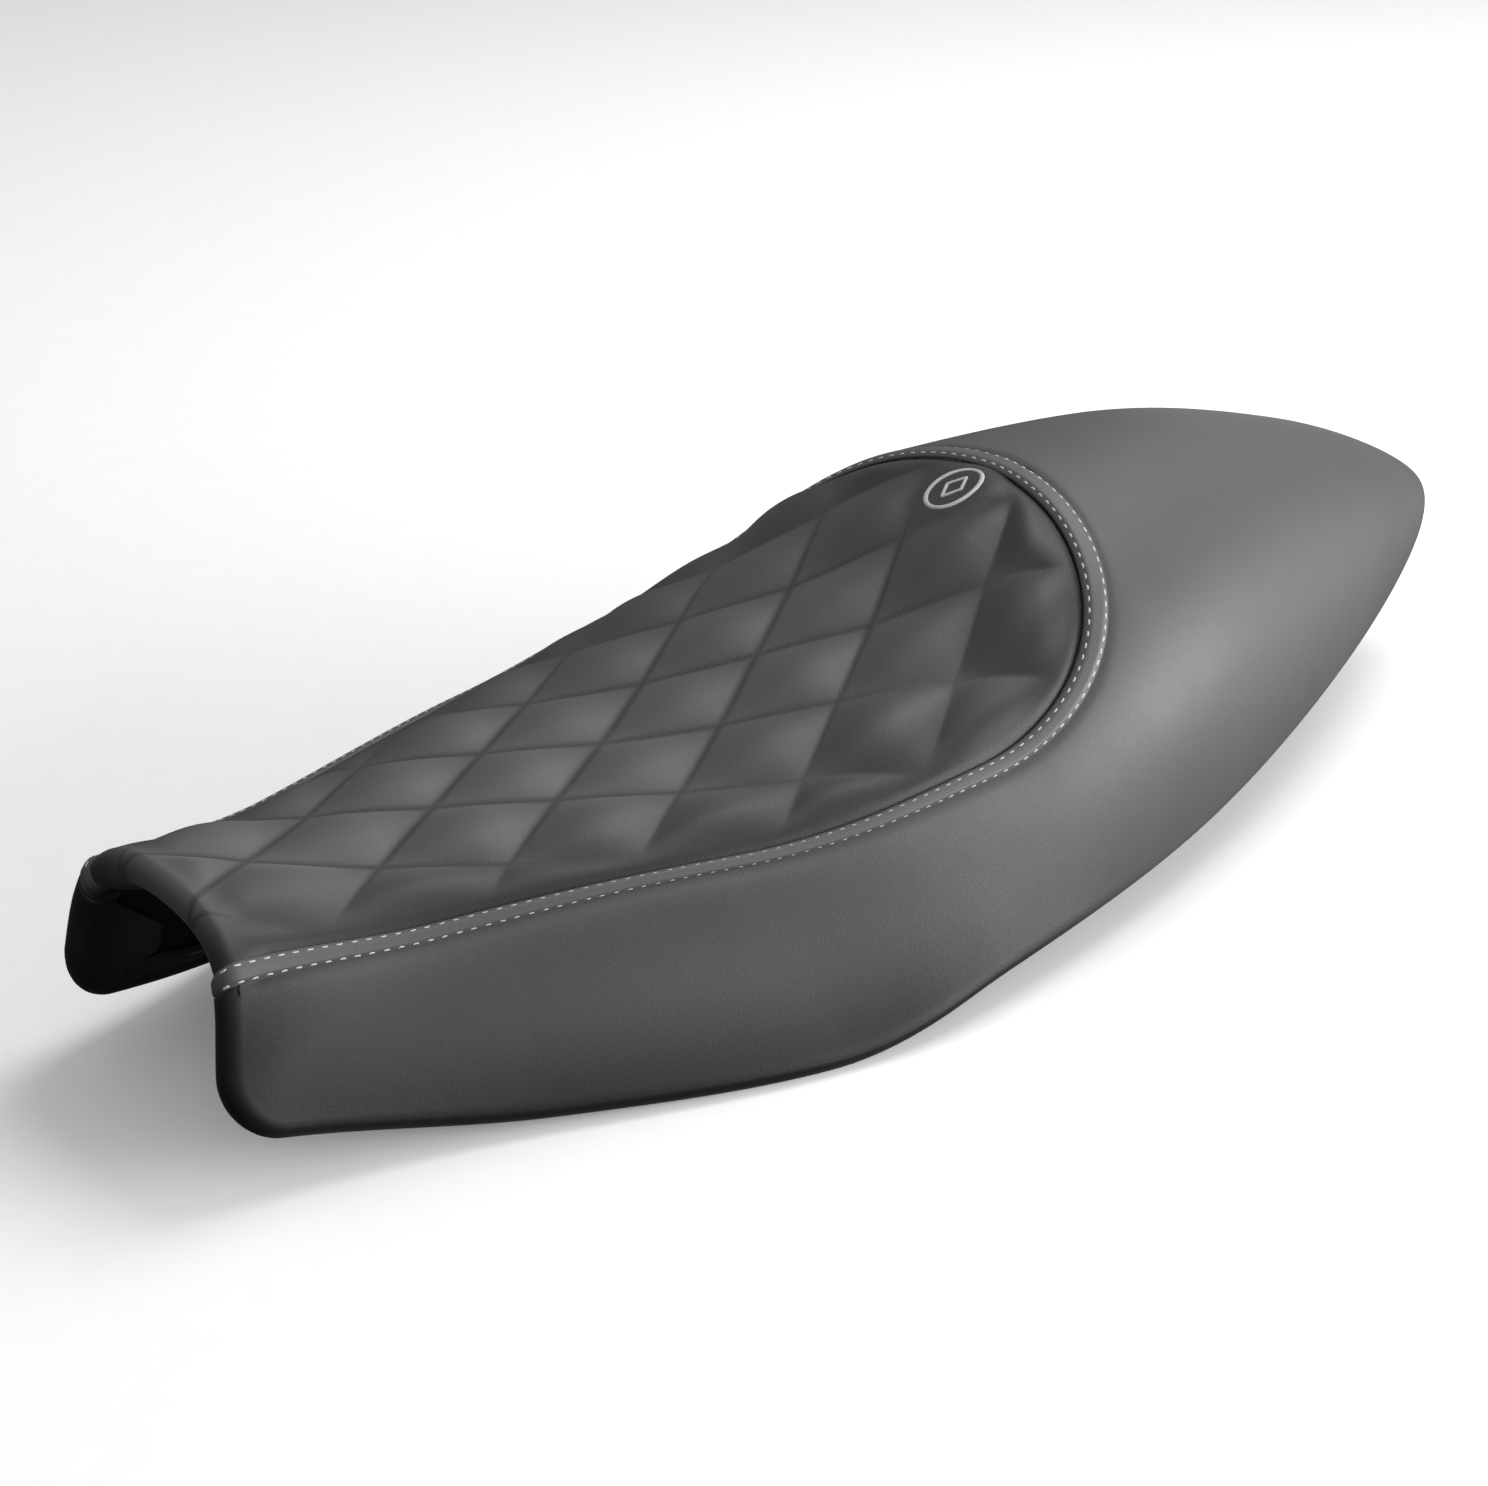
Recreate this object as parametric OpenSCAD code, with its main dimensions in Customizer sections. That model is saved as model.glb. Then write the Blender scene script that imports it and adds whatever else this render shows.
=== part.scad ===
// Solo motorcycle seat with an upholstered bullet tail.
// Frame: +Y from the open front edge to the tail tip, +X to the rider's left, +Z up.
// The seat stands on the lowest part of its two skirts at z = 0.
// Surface stations run 0 to 1 along the length. Across, 0 is the crown and 1 is the skirt's end.

/* [Length and width] */
// Overall length from the front edge to the tail tip
length = 735; // [650:1:820]
// Half width of the skirts at the front edge
front_half = 66; // [50:0.5:90]
// Half width of the skirts at the widest station
wide_half = 142; // [110:1:170]
// Share of the length at which the seat is widest
wide_at = 0.373; // [0.3:0.001:0.5]
// How strongly the plan opens behind the front edge
plan_opening = 0.265; // [0.1:0.005:1.5]
// Exponent that draws the plan in towards the tail
tail_power = 1.61; // [1.4:0.01:3]
// Root that rounds the plan at the tail tip
tail_root = 1.275; // [1.1:0.005:2.4]

/* [Crown heights] */
// Crown height at the front edge
crown_front = 100.5; // [70:0.5:120]
// Crown height through the dip the rider sits in
crown_dip = 88.5; // [60:0.5:110]
// Crown height where the cushion starts to climb
crown_climb = 115.5; // [80:0.5:140]
// Crown height at the head of the climb
crown_shoulder = 160; // [110:1:180]
// Crown height at the top of the hump
crown_hump = 163.5; // [120:0.5:190]
// Crown height on the back of the hump
crown_back = 150.5; // [110:0.5:180]
// Crown height the tail closes from
crown_tail = 124; // [90:0.5:150]
// Height of the tail tip
tip_height = 68.5; // [50:0.5:90]

/* [Lower edge] */
// Rise of the lower edge at the front
edge_front = 24; // [0:0.5:40]
// Rise of the lower edge a little behind the front corner
edge_near = 3.5; // [0:0.5:15]
// Rise of the lower edge where the cushion starts to climb
edge_climb = 13; // [0:1:30]
// Rise of the lower edge below the top of the climb
edge_middle = 22; // [5:1:50]
// Rise of the lower edge below the back of the hump
edge_back = 42.5; // [20:0.5:80]
// Rise of the lower edge the tail closes from
edge_tail = 67; // [50:0.5:110]
// Station where the lower edge touches the ground
edge_ground_at = 0.3; // [0.2:0.01:0.38]
// Radius of the rounded front lower corner
corner_radius = 20; // [15:1:40]

/* [Cross section] */
// How far the top is flat before it turns down, at the front
shoulder_front = 1.06; // [0.4:0.01:1.2]
// The same through the dip
shoulder_middle = 1.11; // [0.4:0.01:1.3]
// The same at the tail
shoulder_tail = 0.535; // [0.2:0.005:0.9]
// Height at which the flanks are fullest, at the front
flank_front = 0.51; // [0.4:0.01:0.9]
// The same through the dip
flank_middle = 0.83; // [0.4:0.01:1]
// The same at the tail
flank_tail = 0.505; // [0.4:0.005:0.9]
// Fullness of the flanks at the front
belly_front = 0.8; // [0.6:0.005:1.2]
// Fullness of the flanks through the dip
belly_middle = 0.47; // [0.4:0.01:1.2]
// Fullness of the flanks at the tail
belly_tail = 1.07; // [0.8:0.005:1.3]
// How far the top of the front edge leans back
front_lean = 13; // [0:1:25]

/* [Seam] */
// Station of the seam's rearmost point
seam_apex = 0.577; // [0.5:0.001:0.7]
// Across-value of the seam at the front edge
seam_front = 0.394; // [0.3:0.001:0.6]
// How far the seam dips towards the crown
seam_dip = 0.203; // [0.1:0.001:0.7]
// How far the seam spreads again before the loop
seam_spread = 0.563; // [0.3:0.001:1.1]
// Width of the trim band
band_width = 10.5; // [8:0.5:20]
// Height the trim band stands proud of the cover
band_proud = 0.6; // [0.2:0.1:1.5]
// Radius of the sewing thread
thread_radius = 0.45; // [0.3:0.05:1]

/* [Layers] */
// Thickness of the cover material
cover_t = 1.6; // [1:0.1:3]
// Radius of the roll where the cover turns under the edges
roll_radius = 5.5; // [4.5:0.5:12]
// Thickness of the soft topper at the crown
topper_t = 5; // [3:0.5:10]
// Depth from the outside to the shell, at the crown of the front edge
pad_front = 5.25; // [4:0.25:20]
// The same in the rider area
pad_rider = 33; // [20:1:45]
// The same over the tail
pad_tail = 12; // [9:1:20]
// Wall of the moulded shell
pan_wall = 3.9; // [2.5:0.1:5]
// Height of the shell's stiffening ribs
rib_height = 9; // [4:1:15]
// Free gap between neighbouring layers
gap = 0.25; // [0.1:0.05:0.5]
// How far the cover's hem runs up the inside
hem_share = 0.12; // [0.06:0.01:0.2]

/* [Front tongue] */
// Height of the pads the tongue is screwed to
tongue_z = 36; // [30:1:42]
// Width of the tongue
tongue_width = 34; // [20:1:50]
// Thickness of the tongue and of the latch plate
steel_t = 3; // [2:0.5:5]
// Station of the tongue's first screw
tongue_screw_at = 0.125; // [0.08:0.005:0.15]
// Distance between the two tongue screws
tongue_pitch = 34; // [24:1:50]
// Front end of the tongue, measured from the front edge
tongue_front = 47; // [10:1:60]
// Depth of the step in the tongue
tongue_step = 9; // [5:1:15]

/* [Latch] */
// Height of the pads the latch plate is screwed to
latch_z = 104; // [70:1:104]
// Station of the latch
latch_at = 0.62; // [0.55:0.01:0.7]
// Distance between the two latch screws
latch_pitch = 52; // [40:1:70]
// Radius of the striker's round bar
striker_radius = 4; // [3:0.5:6]
// Drop of the striker below its plate
striker_drop = 26; // [18:1:40]
// Inside width of the striker loop
striker_gap = 24; // [16:1:40]

/* [Buffers] */
// Height of the front buffers' flat undersides
front_buffer_z = 20; // [12:1:30]
// Height of the rear buffers' flat undersides
rear_buffer_z = 50; // [30:1:65]
// Radius of a rubber buffer
buffer_radius = 12; // [8:1:16]
// Station of the front buffers
front_buffer_at = 0.22; // [0.18:0.01:0.3]
// Station of the rear buffers
rear_buffer_at = 0.52; // [0.45:0.01:0.56]

/* [Fixings] */
// Shank radius of the screws
screw_radius = 3; // [2.5:0.25:4]
// Head radius of the screws
head_radius = 5.5; // [4:0.5:7]
// Head height of the screws
head_height = 3.5; // [2:0.5:5]
// Washer radius
washer_radius = 7; // [6:0.5:9]
// Washer thickness
washer_t = 1.2; // [0.8:0.1:2]
// Outer radius of the threaded inserts
insert_radius = 4.6; // [4:0.1:6]
// Length of the threaded inserts
insert_length = 10; // [6:1:14]
// Radius of the round pads under the shell
boss_radius = 10; // [8:1:14]
// Staples along each side
staples = 15; // [8:1:24]
// Length of a staple's back
staple_length = 10; // [6:1:12]

/* [Hidden] */
fit = 0.05;
tail_close = 6;
tail_close_root = 1.93;
seam_power = 8;
seam_root = 1.45;
foam_end = 0.62;
sheet_start = (roll_radius + 0.001) / length;
pan_depth = 2 * roll_radius - cover_t - gap - pan_wall;
foam_depth = cover_t + gap;
strip_t = 1;
sides_round = 48;
front_overhang = 2.3;
middle = (length + front_overhang) / 2;
CROWN_AT = [0, 0.12, 0.28, 0.44, 0.58, 0.7, 0.85, 1];
CROWN = [crown_front, crown_dip, crown_dip + 2, crown_climb, crown_shoulder, crown_hump, crown_back,
  crown_tail];
EDGE_AT = [0, 0.16, edge_ground_at, 0.42, 0.6, 0.8, 1];
EDGE = [edge_front, edge_near, 0, edge_climb, edge_middle, edge_back, edge_tail];
SECTION_AT = [0, 0.25, 0.6, 1];
SHOULDER = [shoulder_front, shoulder_middle, (shoulder_front + 2 * shoulder_tail) / 3 + 0.015,
  shoulder_tail];
FLANK = [flank_front, flank_middle, (flank_front + 2 * flank_tail) / 3 + 0.015, flank_tail];
BELLY = [belly_front, belly_middle, belly_tail - 0.03, belly_tail];
PAD_AT = [0, 0.14, 0.5, 0.66, 1];
PAD = [pad_front, pad_rider, pad_rider + 2, pad_tail, pad_tail];

// Smooth curve through stations without overshoot
function slope(xs, ys, i) = (ys[i + 1] - ys[i]) / (xs[i + 1] - xs[i]);
function inner_tangent(p, q, h, k) =
  p * q <= 0 ? 0 : 3 * (h + k) / ((2 * k + h) / p + (k + 2 * h) / q);
function tangent(xs, ys, i) =
  i == 0 ? slope(xs, ys, 0)
  : i == len(xs) - 1 ? slope(xs, ys, i - 1)
  : inner_tangent(slope(xs, ys, i - 1), slope(xs, ys, i), xs[i] - xs[i - 1], xs[i + 1] - xs[i]);
function span_of(xs, x, i = 0) = i >= len(xs) - 2 || x < xs[i + 1] ? i : span_of(xs, x, i + 1);
function hermite(t, a, b, p, q) =
  a * (2 * t * t * t - 3 * t * t + 1) + p * (t * t * t - 2 * t * t + t)
  + b * (3 * t * t - 2 * t * t * t) + q * (t * t * t - t * t);
function curve(xs, ys, x) =
  let (i = span_of(xs, x), h = xs[i + 1] - xs[i])
  hermite((x - xs[i]) / h, ys[i], ys[i + 1], h * tangent(xs, ys, i), h * tangent(xs, ys, i + 1));

// Outer form of the seat. inset is [from the flank, from the crown]
function mix(a, b, t) = a + (b - a) * t;
function clip(x) = min(max(x, 0), 1);
function opening(t) = (t * t * t - 2 * t * t + t) * plan_opening + 3 * t * t - 2 * t * t * t;
function narrowing(u) = pow(max(1 - pow(u, tail_power), 0), 1 / tail_root);
function half_width(s, inset) =
  s < wide_at ? mix(front_half, wide_half, opening(s / wide_at)) - inset
  : (wide_half - inset) * narrowing(clip((s - wide_at) / (1 - wide_at)));
function closing(s) = pow(max(1 - pow(clip(s), tail_close), 0), 1 / tail_close_root);
function crown(s, inset) = tip_height + (curve(CROWN_AT, CROWN, s) - inset - tip_height) * closing(s);
function skirt(s) = tip_height + (curve(EDGE_AT, EDGE, s) + roll_radius - tip_height) * closing(s);
function bezier(t, p1, p2, p3) = 3 * (1 - t) * (1 - t) * t * p1 + 3 * (1 - t) * t * t * p2 + t * t * t * p3;
function lean(s, h) = front_lean * pow(1 - clip(s / 0.3), 2) * (0.4 * h + 0.6 * h * h);
function form(s, v, inset) =
  let (t = abs(v), w = half_width(s, inset[0]), top = crown(s, inset[1]), low = skirt(s))
  let (x = bezier(t, curve(SECTION_AT, SHOULDER, s) * w, curve(SECTION_AT, BELLY, s) * w, w))
  let (h = pow(1 - t, 3) + bezier(t, 1, curve(SECTION_AT, FLANK, s), 0))
  [sign(v) * x, s * (length - inset[0]) + lean(s, clip(h)) - middle, low + (top - low) * h];

// Depth of the layers: the shell lies deeper under the rider than at the flanks
function pad(s) = curve(PAD_AT, PAD, s);
function pan_out(s) = [pan_depth, pad(s)];
function pan_in(s) = [pan_depth + pan_wall, pad(s) + pan_wall];
function hem_in(s) = pan_in(s) + [gap, gap];
function hem_out(s) = pan_in(s) + [gap + cover_t, gap + cover_t];

// Seam line and the line along the other edge of the band. u runs from the front to the apex
function seam_profile(u) = seam_front - seam_dip * u + seam_spread * u * u;
function seam_close(u) = pow(max(1 - pow(clip(u), seam_power), 0), 1 / seam_root);
function band_share(s) = band_width / (length * 0.27 * mix(0.62, 1, clip(s / 0.3)));
function seam_v(u, out) = (seam_profile(u) + out * band_share(u * seam_apex)) * seam_close(u);
function seam_s(u, out) = sheet_start + (seam_apex + out * band_width / length - sheet_start) * u;
function at_seam(u, out) = [seam_s(u, out), seam_v(u, out)];

// Rows of every sheet: up the front edge, round its corner, back to the seam's apex, on to the tip
rows_front = 3;
rows_corner = 5;
rows_seam = 18;
rows_tail = 14;
row_bend = rows_front + rows_corner;
row_apex = row_bend + rows_seam;
row_last = row_apex + rows_tail;
corner_share = 0.18;
corner_s = sheet_start + (corner_radius - roll_radius) / length;
edge_top = 0.02;
tip_s = 0.9995;
corner_u = (corner_s - sheet_start) / (seam_apex - sheet_start);
function row_u(k) =
  k <= row_bend ? corner_u * k / row_bend : mix(corner_u, 1, sin(90 * clip((k - row_bend) / rows_seam)));
function row_back(k, from) = mix(from, tip_s, sin(90 * (k - row_apex) / rows_tail));
function row_turn(k) = 90 - 90 * clip((k - rows_front) / rows_corner);
function row_edge(k, s, inner) =
  k <= rows_front ? [sheet_start, mix(inner + edge_top, 1 - corner_share, k / rows_front)]
  : k <= row_bend
    ? [mix(corner_s, sheet_start, sin(row_turn(k))), 1 - corner_share * (1 - cos(row_turn(k)))]
  : [s, 1];

// A point on the roll round an edge: a is the angle round the roll, r its radius
function roll_total(s) = pad(s) + pan_wall + gap + cover_t;
function rolled(sv, side, turn, a, r) =
  let (d = roll_radius - r * cos(a), drop = r * sin(a))
  form(sv[0], side * sv[1], [d, d / (2 * roll_radius) * roll_total(sv[0])])
  + [0, -sin(turn) * drop, -cos(turn) * drop];
function hem_sv(sv, turn, t) =
  sv + t * [hem_share * sin(turn) * 0.35, -hem_share * cos(turn)];
function at(sv, side, inset) = form(sv[0], side * sv[1], inset);
function lines(a, b, n) = [for (j = [0 : n]) mix(a, b, j / n)];

// Closed solid between two grids of points
module between(top, under) {
  rows = len(top);
  cols = len(top[0]);
  upper = function (i, j) i * cols + j;
  lower = function (i, j) rows * cols + i * cols + j;
  skin = [for (i = [0 : rows - 2], j = [0 : cols - 2]) each [
    [upper(i, j), upper(i, j + 1), upper(i + 1, j + 1)],
    [upper(i, j), upper(i + 1, j + 1), upper(i + 1, j)],
    [lower(i, j), lower(i + 1, j + 1), lower(i, j + 1)],
    [lower(i, j), lower(i + 1, j), lower(i + 1, j + 1)]]];
  ends = [for (j = [0 : cols - 2]) each [
    [upper(0, j), lower(0, j), lower(0, j + 1)],
    [upper(0, j), lower(0, j + 1), upper(0, j + 1)],
    [upper(rows - 1, j), lower(rows - 1, j + 1), lower(rows - 1, j)],
    [upper(rows - 1, j), upper(rows - 1, j + 1), lower(rows - 1, j + 1)]]];
  sides = [for (i = [0 : rows - 2]) each [
    [upper(i, 0), lower(i + 1, 0), lower(i, 0)],
    [upper(i, 0), upper(i + 1, 0), lower(i + 1, 0)],
    [upper(i, cols - 1), lower(i, cols - 1), lower(i + 1, cols - 1)],
    [upper(i, cols - 1), lower(i + 1, cols - 1), upper(i + 1, cols - 1)]]];
  polyhedron(
    points = concat([for (r = top) each r], [for (r = under) each r]),
    faces = concat(skin, ends, sides),
    convexity = 10);
}

// Closed solid of two mirrored wings, joined on the centre line from row join onwards.
// Each grid holds the left wing's rows, then the right wing's
module wings(top, under, join) {
  rows = len(top) / 2;
  cols = len(top[0]);
  spot = function (wing, i, j) (j == 0 && i >= join ? i : wing * rows + i) * cols + j;
  upper = function (wing, i, j) spot(wing, i, j);
  lower = function (wing, i, j) 2 * rows * cols + spot(wing, i, j);
  quad = function (wing, a, b, c, d) wing == 1 ? [[a, b, c], [a, c, d]] : [[a, c, b], [a, d, c]];
  skin = [for (w = [0, 1], i = [0 : rows - 2], j = [0 : cols - 2]) each concat(
    quad(w, upper(w, i, j), upper(w, i + 1, j), upper(w, i + 1, j + 1), upper(w, i, j + 1)),
    quad(w, lower(w, i, j), lower(w, i, j + 1), lower(w, i + 1, j + 1), lower(w, i + 1, j)))];
  ends = [for (w = [0, 1], j = [0 : cols - 2]) each concat(
    quad(w, upper(w, 0, j), upper(w, 0, j + 1), lower(w, 0, j + 1), lower(w, 0, j)),
    quad(w, upper(w, rows - 1, j), lower(w, rows - 1, j), lower(w, rows - 1, j + 1),
      upper(w, rows - 1, j + 1)))];
  outside = [for (w = [0, 1], i = [0 : rows - 2]) each
    quad(w, upper(w, i, cols - 1), upper(w, i + 1, cols - 1), lower(w, i + 1, cols - 1),
      lower(w, i, cols - 1))];
  inside = [for (w = [0, 1], i = [0 : 1 : join - 1]) each
    quad(w, upper(w, i, 0), lower(w, i, 0), lower(w, i + 1, 0), upper(w, i + 1, 0))];
  polyhedron(
    points = concat([for (r = top) each r], [for (r = under) each r]),
    faces = concat(skin, ends, outside, inside),
    convexity = 10);
}

// Side cover: from the band to the lower edge, round the roll and up the inside
cover_cols = 7;
roll_steps = 6;
hem_steps = 2;
beside = 1.02;
function cover_row(k, side, thick) =
  let (a = k < row_apex ? at_seam(row_u(k), beside) : [row_back(k, at_seam(1, beside)[0]), 0])
  let (e = row_edge(k, a[0], a[1]), turn = row_turn(k))
  concat(
    [for (p = lines(a, e, cover_cols)) at(p, side, [thick, thick])],
    [for (j = [1 : roll_steps]) rolled(e, side, turn, 180 * j / roll_steps, roll_radius - thick)],
    [for (j = [1 : hem_steps])
      let (p = hem_sv(e, turn, j / hem_steps * clip((k + 1) / 3)))
      at(p, side, hem_out(p[0]) - [thick, thick])]);
function cover_grid(thick) = [for (side = [-1, 1], k = [0 : row_last]) cover_row(k, side, thick)];
module side_cover()
  color([0.33, 0.33, 0.33])
  wings(cover_grid(0), cover_grid(cover_t), row_apex);

// Quilted panel: from its hem inside the front edge, over the roll and back to the seam's apex
panel_cols = 12;
panel_across = [for (j = [panel_cols : -2 : -panel_cols]) j / panel_cols];
front_hem = 14;
function panel_line(k, thick) =
  let (p = at_seam(row_u(k), -0.02), reach = max(p[1], 0.008))
  [for (j = panel_across) at([p[0], reach * abs(j)], sign(j), [thick, thick])];
function panel_roll(a, thick) =
  let (p = at_seam(0, -0.02))
  [for (j = panel_across)
    rolled([p[0], p[1] * abs(j)], sign(j), 90, a, roll_radius - thick)];
function panel_hem(t, thick) =
  let (p = at_seam(0, -0.02), s = p[0] + front_hem * t / length)
  [for (j = panel_across)
    at([s, p[1] * abs(j)], sign(j), hem_out(s) - [thick, thick])];
function panel_rows(thick) = concat(
  [for (j = [2 : -1 : 1]) panel_hem(j / 2, thick)],
  [for (j = [roll_steps : -1 : 1]) panel_roll(180 * j / roll_steps, thick)],
  [for (k = [0 : row_apex]) panel_line(k, thick)]);
module quilted_panel()
  color([0.22, 0.22, 0.22])
  between(panel_rows(0), panel_rows(cover_t));

// Trim band: one strip all the way round the panel, turned under at both front ends
band_cols = 2;
function band_line(k, side, thick) =
  [for (j = [0 : band_cols]) at(at_seam(row_u(k), j / band_cols), side, [thick, thick])];
function band_roll(a, side, thick) =
  [for (j = [0 : band_cols])
    rolled(at_seam(0, j / band_cols), side, 90, a, roll_radius - thick)];
function band_hem(side, thick) =
  [for (j = [0 : band_cols])
    let (p = at_seam(0, j / band_cols) + [front_hem / length, 0])
    at(p, side, hem_out(p[0]) - [thick, thick])];
function band_half(side, thick) = concat(
  [band_hem(side, thick)],
  [for (j = [roll_steps : -1 : 1]) band_roll(180 * j / roll_steps, side, thick)],
  [for (k = [0 : row_apex]) band_line(k, side, thick)]);
function reversed(rows, skip) = [for (i = [len(rows) - 1 - skip : -1 : 0]) rows[i]];
function band_rows(thick) = concat(band_half(-1, thick), reversed(band_half(1, thick), 1));
module trim_band()
  color([0.35, 0.34, 0.33])
  between(band_rows(-band_proud), band_rows(cover_t));

// Sewing thread: lies along the band at a share of its width, in rows round the apex
ROUND = [for (i = [-row_apex : row_apex]) [row_apex - abs(i), i < 0 ? -1 : 1]];
thread_share = thread_radius / band_width;
function thread_row(r, where, level) =
  [for (j = [-1, 1]) at(at_seam(row_u(r[0]), where + j * thread_share), r[1], [level, level])];
module thread(where) {
  low = -band_proud - gap;
  between([for (r = ROUND) thread_row(r, where, low - 2 * thread_radius)],
    [for (r = ROUND) thread_row(r, where, low)]);
}
module inner_stitching() color([0.8, 0.8, 0.8]) thread(0.14);
module outer_stitching() color([0.8, 0.8, 0.8]) thread(0.86);

// Small oval patch on the panel, in front of the seam's apex
emblem_s = 0.548;
emblem_long = 0.021;
emblem_wide = 0.043;
emblem_t = 0.8;
emblem_rows = 10;
function emblem_grid(level) =
  [for (i = [0 : emblem_rows])
    let (c = -cos(mix(4, 176, i / emblem_rows)), w = emblem_wide * sqrt(1 - c * c))
    [for (j = [4 : -1 : -4]) at([emblem_s + emblem_long * c, w * abs(j) / 4], sign(j), [level, level])]];
module emblem()
  color([0.75, 0.75, 0.76])
  between(emblem_grid(-gap - emblem_t), emblem_grid(-gap));

// Padding: a topper over the moulded cushion, and a thin pad over the tail
foam_rows = 26;
foam_cols = 20;
foam_start = sheet_start + gap / length;
foam_edge = 0.985;
function patch(s0, s1, reach, rows, cols, inset) =
  [for (i = [0 : rows])
    let (s = mix(s0, s1, i / rows))
    [for (j = [cols : -2 : -cols])
      at([s, reach(s) * abs(j) / cols], sign(j), inset(s))]];
function corner_reach(s, most) =
  let (c = clip((corner_s - s) / (corner_s - sheet_start)))
  most - corner_share * (1 - sqrt(1 - c * c));
topper_share = 0.45;
function topper_under(s) = foam_depth + min(topper_t, (pad(s) - foam_depth - gap) * topper_share);
module foam_topper() {
  reach = function (s) 0.8;
  color([0.9, 0.88, 0.8])
  between(
    patch(foam_start, foam_end, reach, foam_rows, foam_cols, function (s) [foam_depth, foam_depth]),
    patch(foam_start, foam_end, reach, foam_rows, foam_cols, function (s) [foam_depth, topper_under(s)]));
}
module rider_foam() {
  reach = function (s) corner_reach(s, foam_edge);
  color([0.85, 0.8, 0.6])
  between(
    patch(foam_start, foam_end, reach, foam_rows, foam_cols,
      function (s) [foam_depth, topper_under(s) + gap]),
    patch(foam_start, foam_end, reach, foam_rows, foam_cols, function (s) pan_out(s) - [gap, gap]));
}

// Shells that close over the crown: each row runs from the centre line out to the lower edge
shell_reach = 0.99;
shell_cols = 12;
shell_rows_mid = 24;
function shell_s(k, from) =
  from > corner_s ? mix(from, tip_s, sin(90 * k / rows_tail))
  : k <= row_bend ? row_edge(k, 0, 0)[0]
  : mix(corner_s, tip_s, sin(90 * (k - row_bend) / shell_rows_mid));
function shell_row(k, side, from, most, cols, inset) =
  let (s = shell_s(k, from), a = [s, 0])
  let (e = from > corner_s ? [s, most] : [s, row_edge(k, s, 0)[1] * most])
  [for (p = lines(a, e, cols)) at(p, side, inset(p[0]))];
tail_cols = 8;
tail_from = foam_end + 2 * gap / length;
function tail_grid(inset) =
  [for (side = [-1, 1], k = [0 : rows_tail]) shell_row(k, side, tail_from, foam_edge, tail_cols, inset)];
function pan_grid(inset) =
  [for (side = [-1, 1], k = [rows_front : row_bend + shell_rows_mid])
    shell_row(k, side, sheet_start, shell_reach, shell_cols, inset)];
module tail_foam()
  color([0.85, 0.8, 0.6])
  wings(tail_grid(function (s) [foam_depth, foam_depth]), tail_grid(function (s) pan_out(s) - [gap, gap]), 0);

// Moulded shell
module base_pan()
  color([0.08, 0.08, 0.085])
  wings(pan_grid(function (s) pan_out(s)), pan_grid(function (s) pan_in(s)), 0);

// Two stiffening ribs bonded along the shell's roof
rib_from = 0.26;
rib_to = 0.5;
rib_reach = 0.2;
rib_half = 0.006;
rib_rows = 10;
function rib_grid(side, low) =
  [for (i = [0 : rib_rows])
    let (s = mix(rib_from, rib_to, i / rib_rows))
    [for (j = [1, -1]) at([s, rib_reach + j * side * rib_half], side, pan_in(s) + [low, low])]];
module stiffening_ribs()
  color([0.1, 0.1, 0.105])
  for (side = [-1, 1]) between(rib_grid(side, gap), rib_grid(side, rib_height));

// Standoffs bonded under the shell. A standoff ends just below the lowest roof over it
reach_v = 0.06;
function roof_over(s, v) = min([for (i = [-1, 0, 1], j = [-1, 0, 1])
  let (t = s + i * buffer_radius / length) form(t, v + j * reach_v, pan_in(t))[2]]) - gap;
function under_roof(s, v) = let (p = form(s, v, pan_in(s))) [p[0], p[1], roof_over(s, abs(v))];
TONGUE_AT = [for (j = [0, 1]) under_roof(tongue_screw_at + j * tongue_pitch / length, 0)];
latch_v = 0.135;
LATCH_AT = [for (side = [-1, 1])
  [side * latch_pitch / 2, form(latch_at, latch_v, pan_in(latch_at))[1], roof_over(latch_at, latch_v)]];
FRONT_BUFFERS = [for (side = [-1, 1]) under_roof(front_buffer_at, side * 0.2)];
REAR_BUFFERS = [for (side = [-1, 1]) under_roof(rear_buffer_at, side * 0.26)];
module standoffs(points, z) color([0.1, 0.1, 0.105]) for (p = points)
  translate([p[0], p[1], z]) difference() {
    cylinder(r = boss_radius, h = p[2] - z, $fn = sides_round);
    translate([0, 0, -1]) cylinder(r = insert_radius, h = insert_length + 1, $fn = sides_round);
  }
module tongue_standoffs() standoffs(TONGUE_AT, tongue_z);
module latch_standoffs() standoffs(LATCH_AT, latch_z);

// Hem: a retaining strip over the turned-in cover, held by a row of staples
strip_low = 0.35;
strip_high = 0.85;
strip_from = 0.06;
strip_to = 0.95;
strip_rows = 30;
function strip_grid(side, level) =
  [for (i = [0 : strip_rows])
    let (s = mix(strip_from, strip_to, i / strip_rows))
    [for (t = side > 0 ? [strip_low, strip_high] : [strip_high, strip_low])
      at(hem_sv([s, 1], 0, t), side, hem_out(s) + [level, level])]];
module hem_strip()
  color([0.15, 0.15, 0.16])
  for (side = [-1, 1])
    between(strip_grid(side, gap), strip_grid(side, gap + strip_t));
staple_wide = 1.2;
staple_t = 0.6;
staple_from = 0.08;
staple_to = 0.9;
function unit(a) = a / norm(a);
function hem_point(s, v, side) = form(s, side * v, hem_out(s) + (gap * 2 + strip_t) * [1, 1]);
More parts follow.
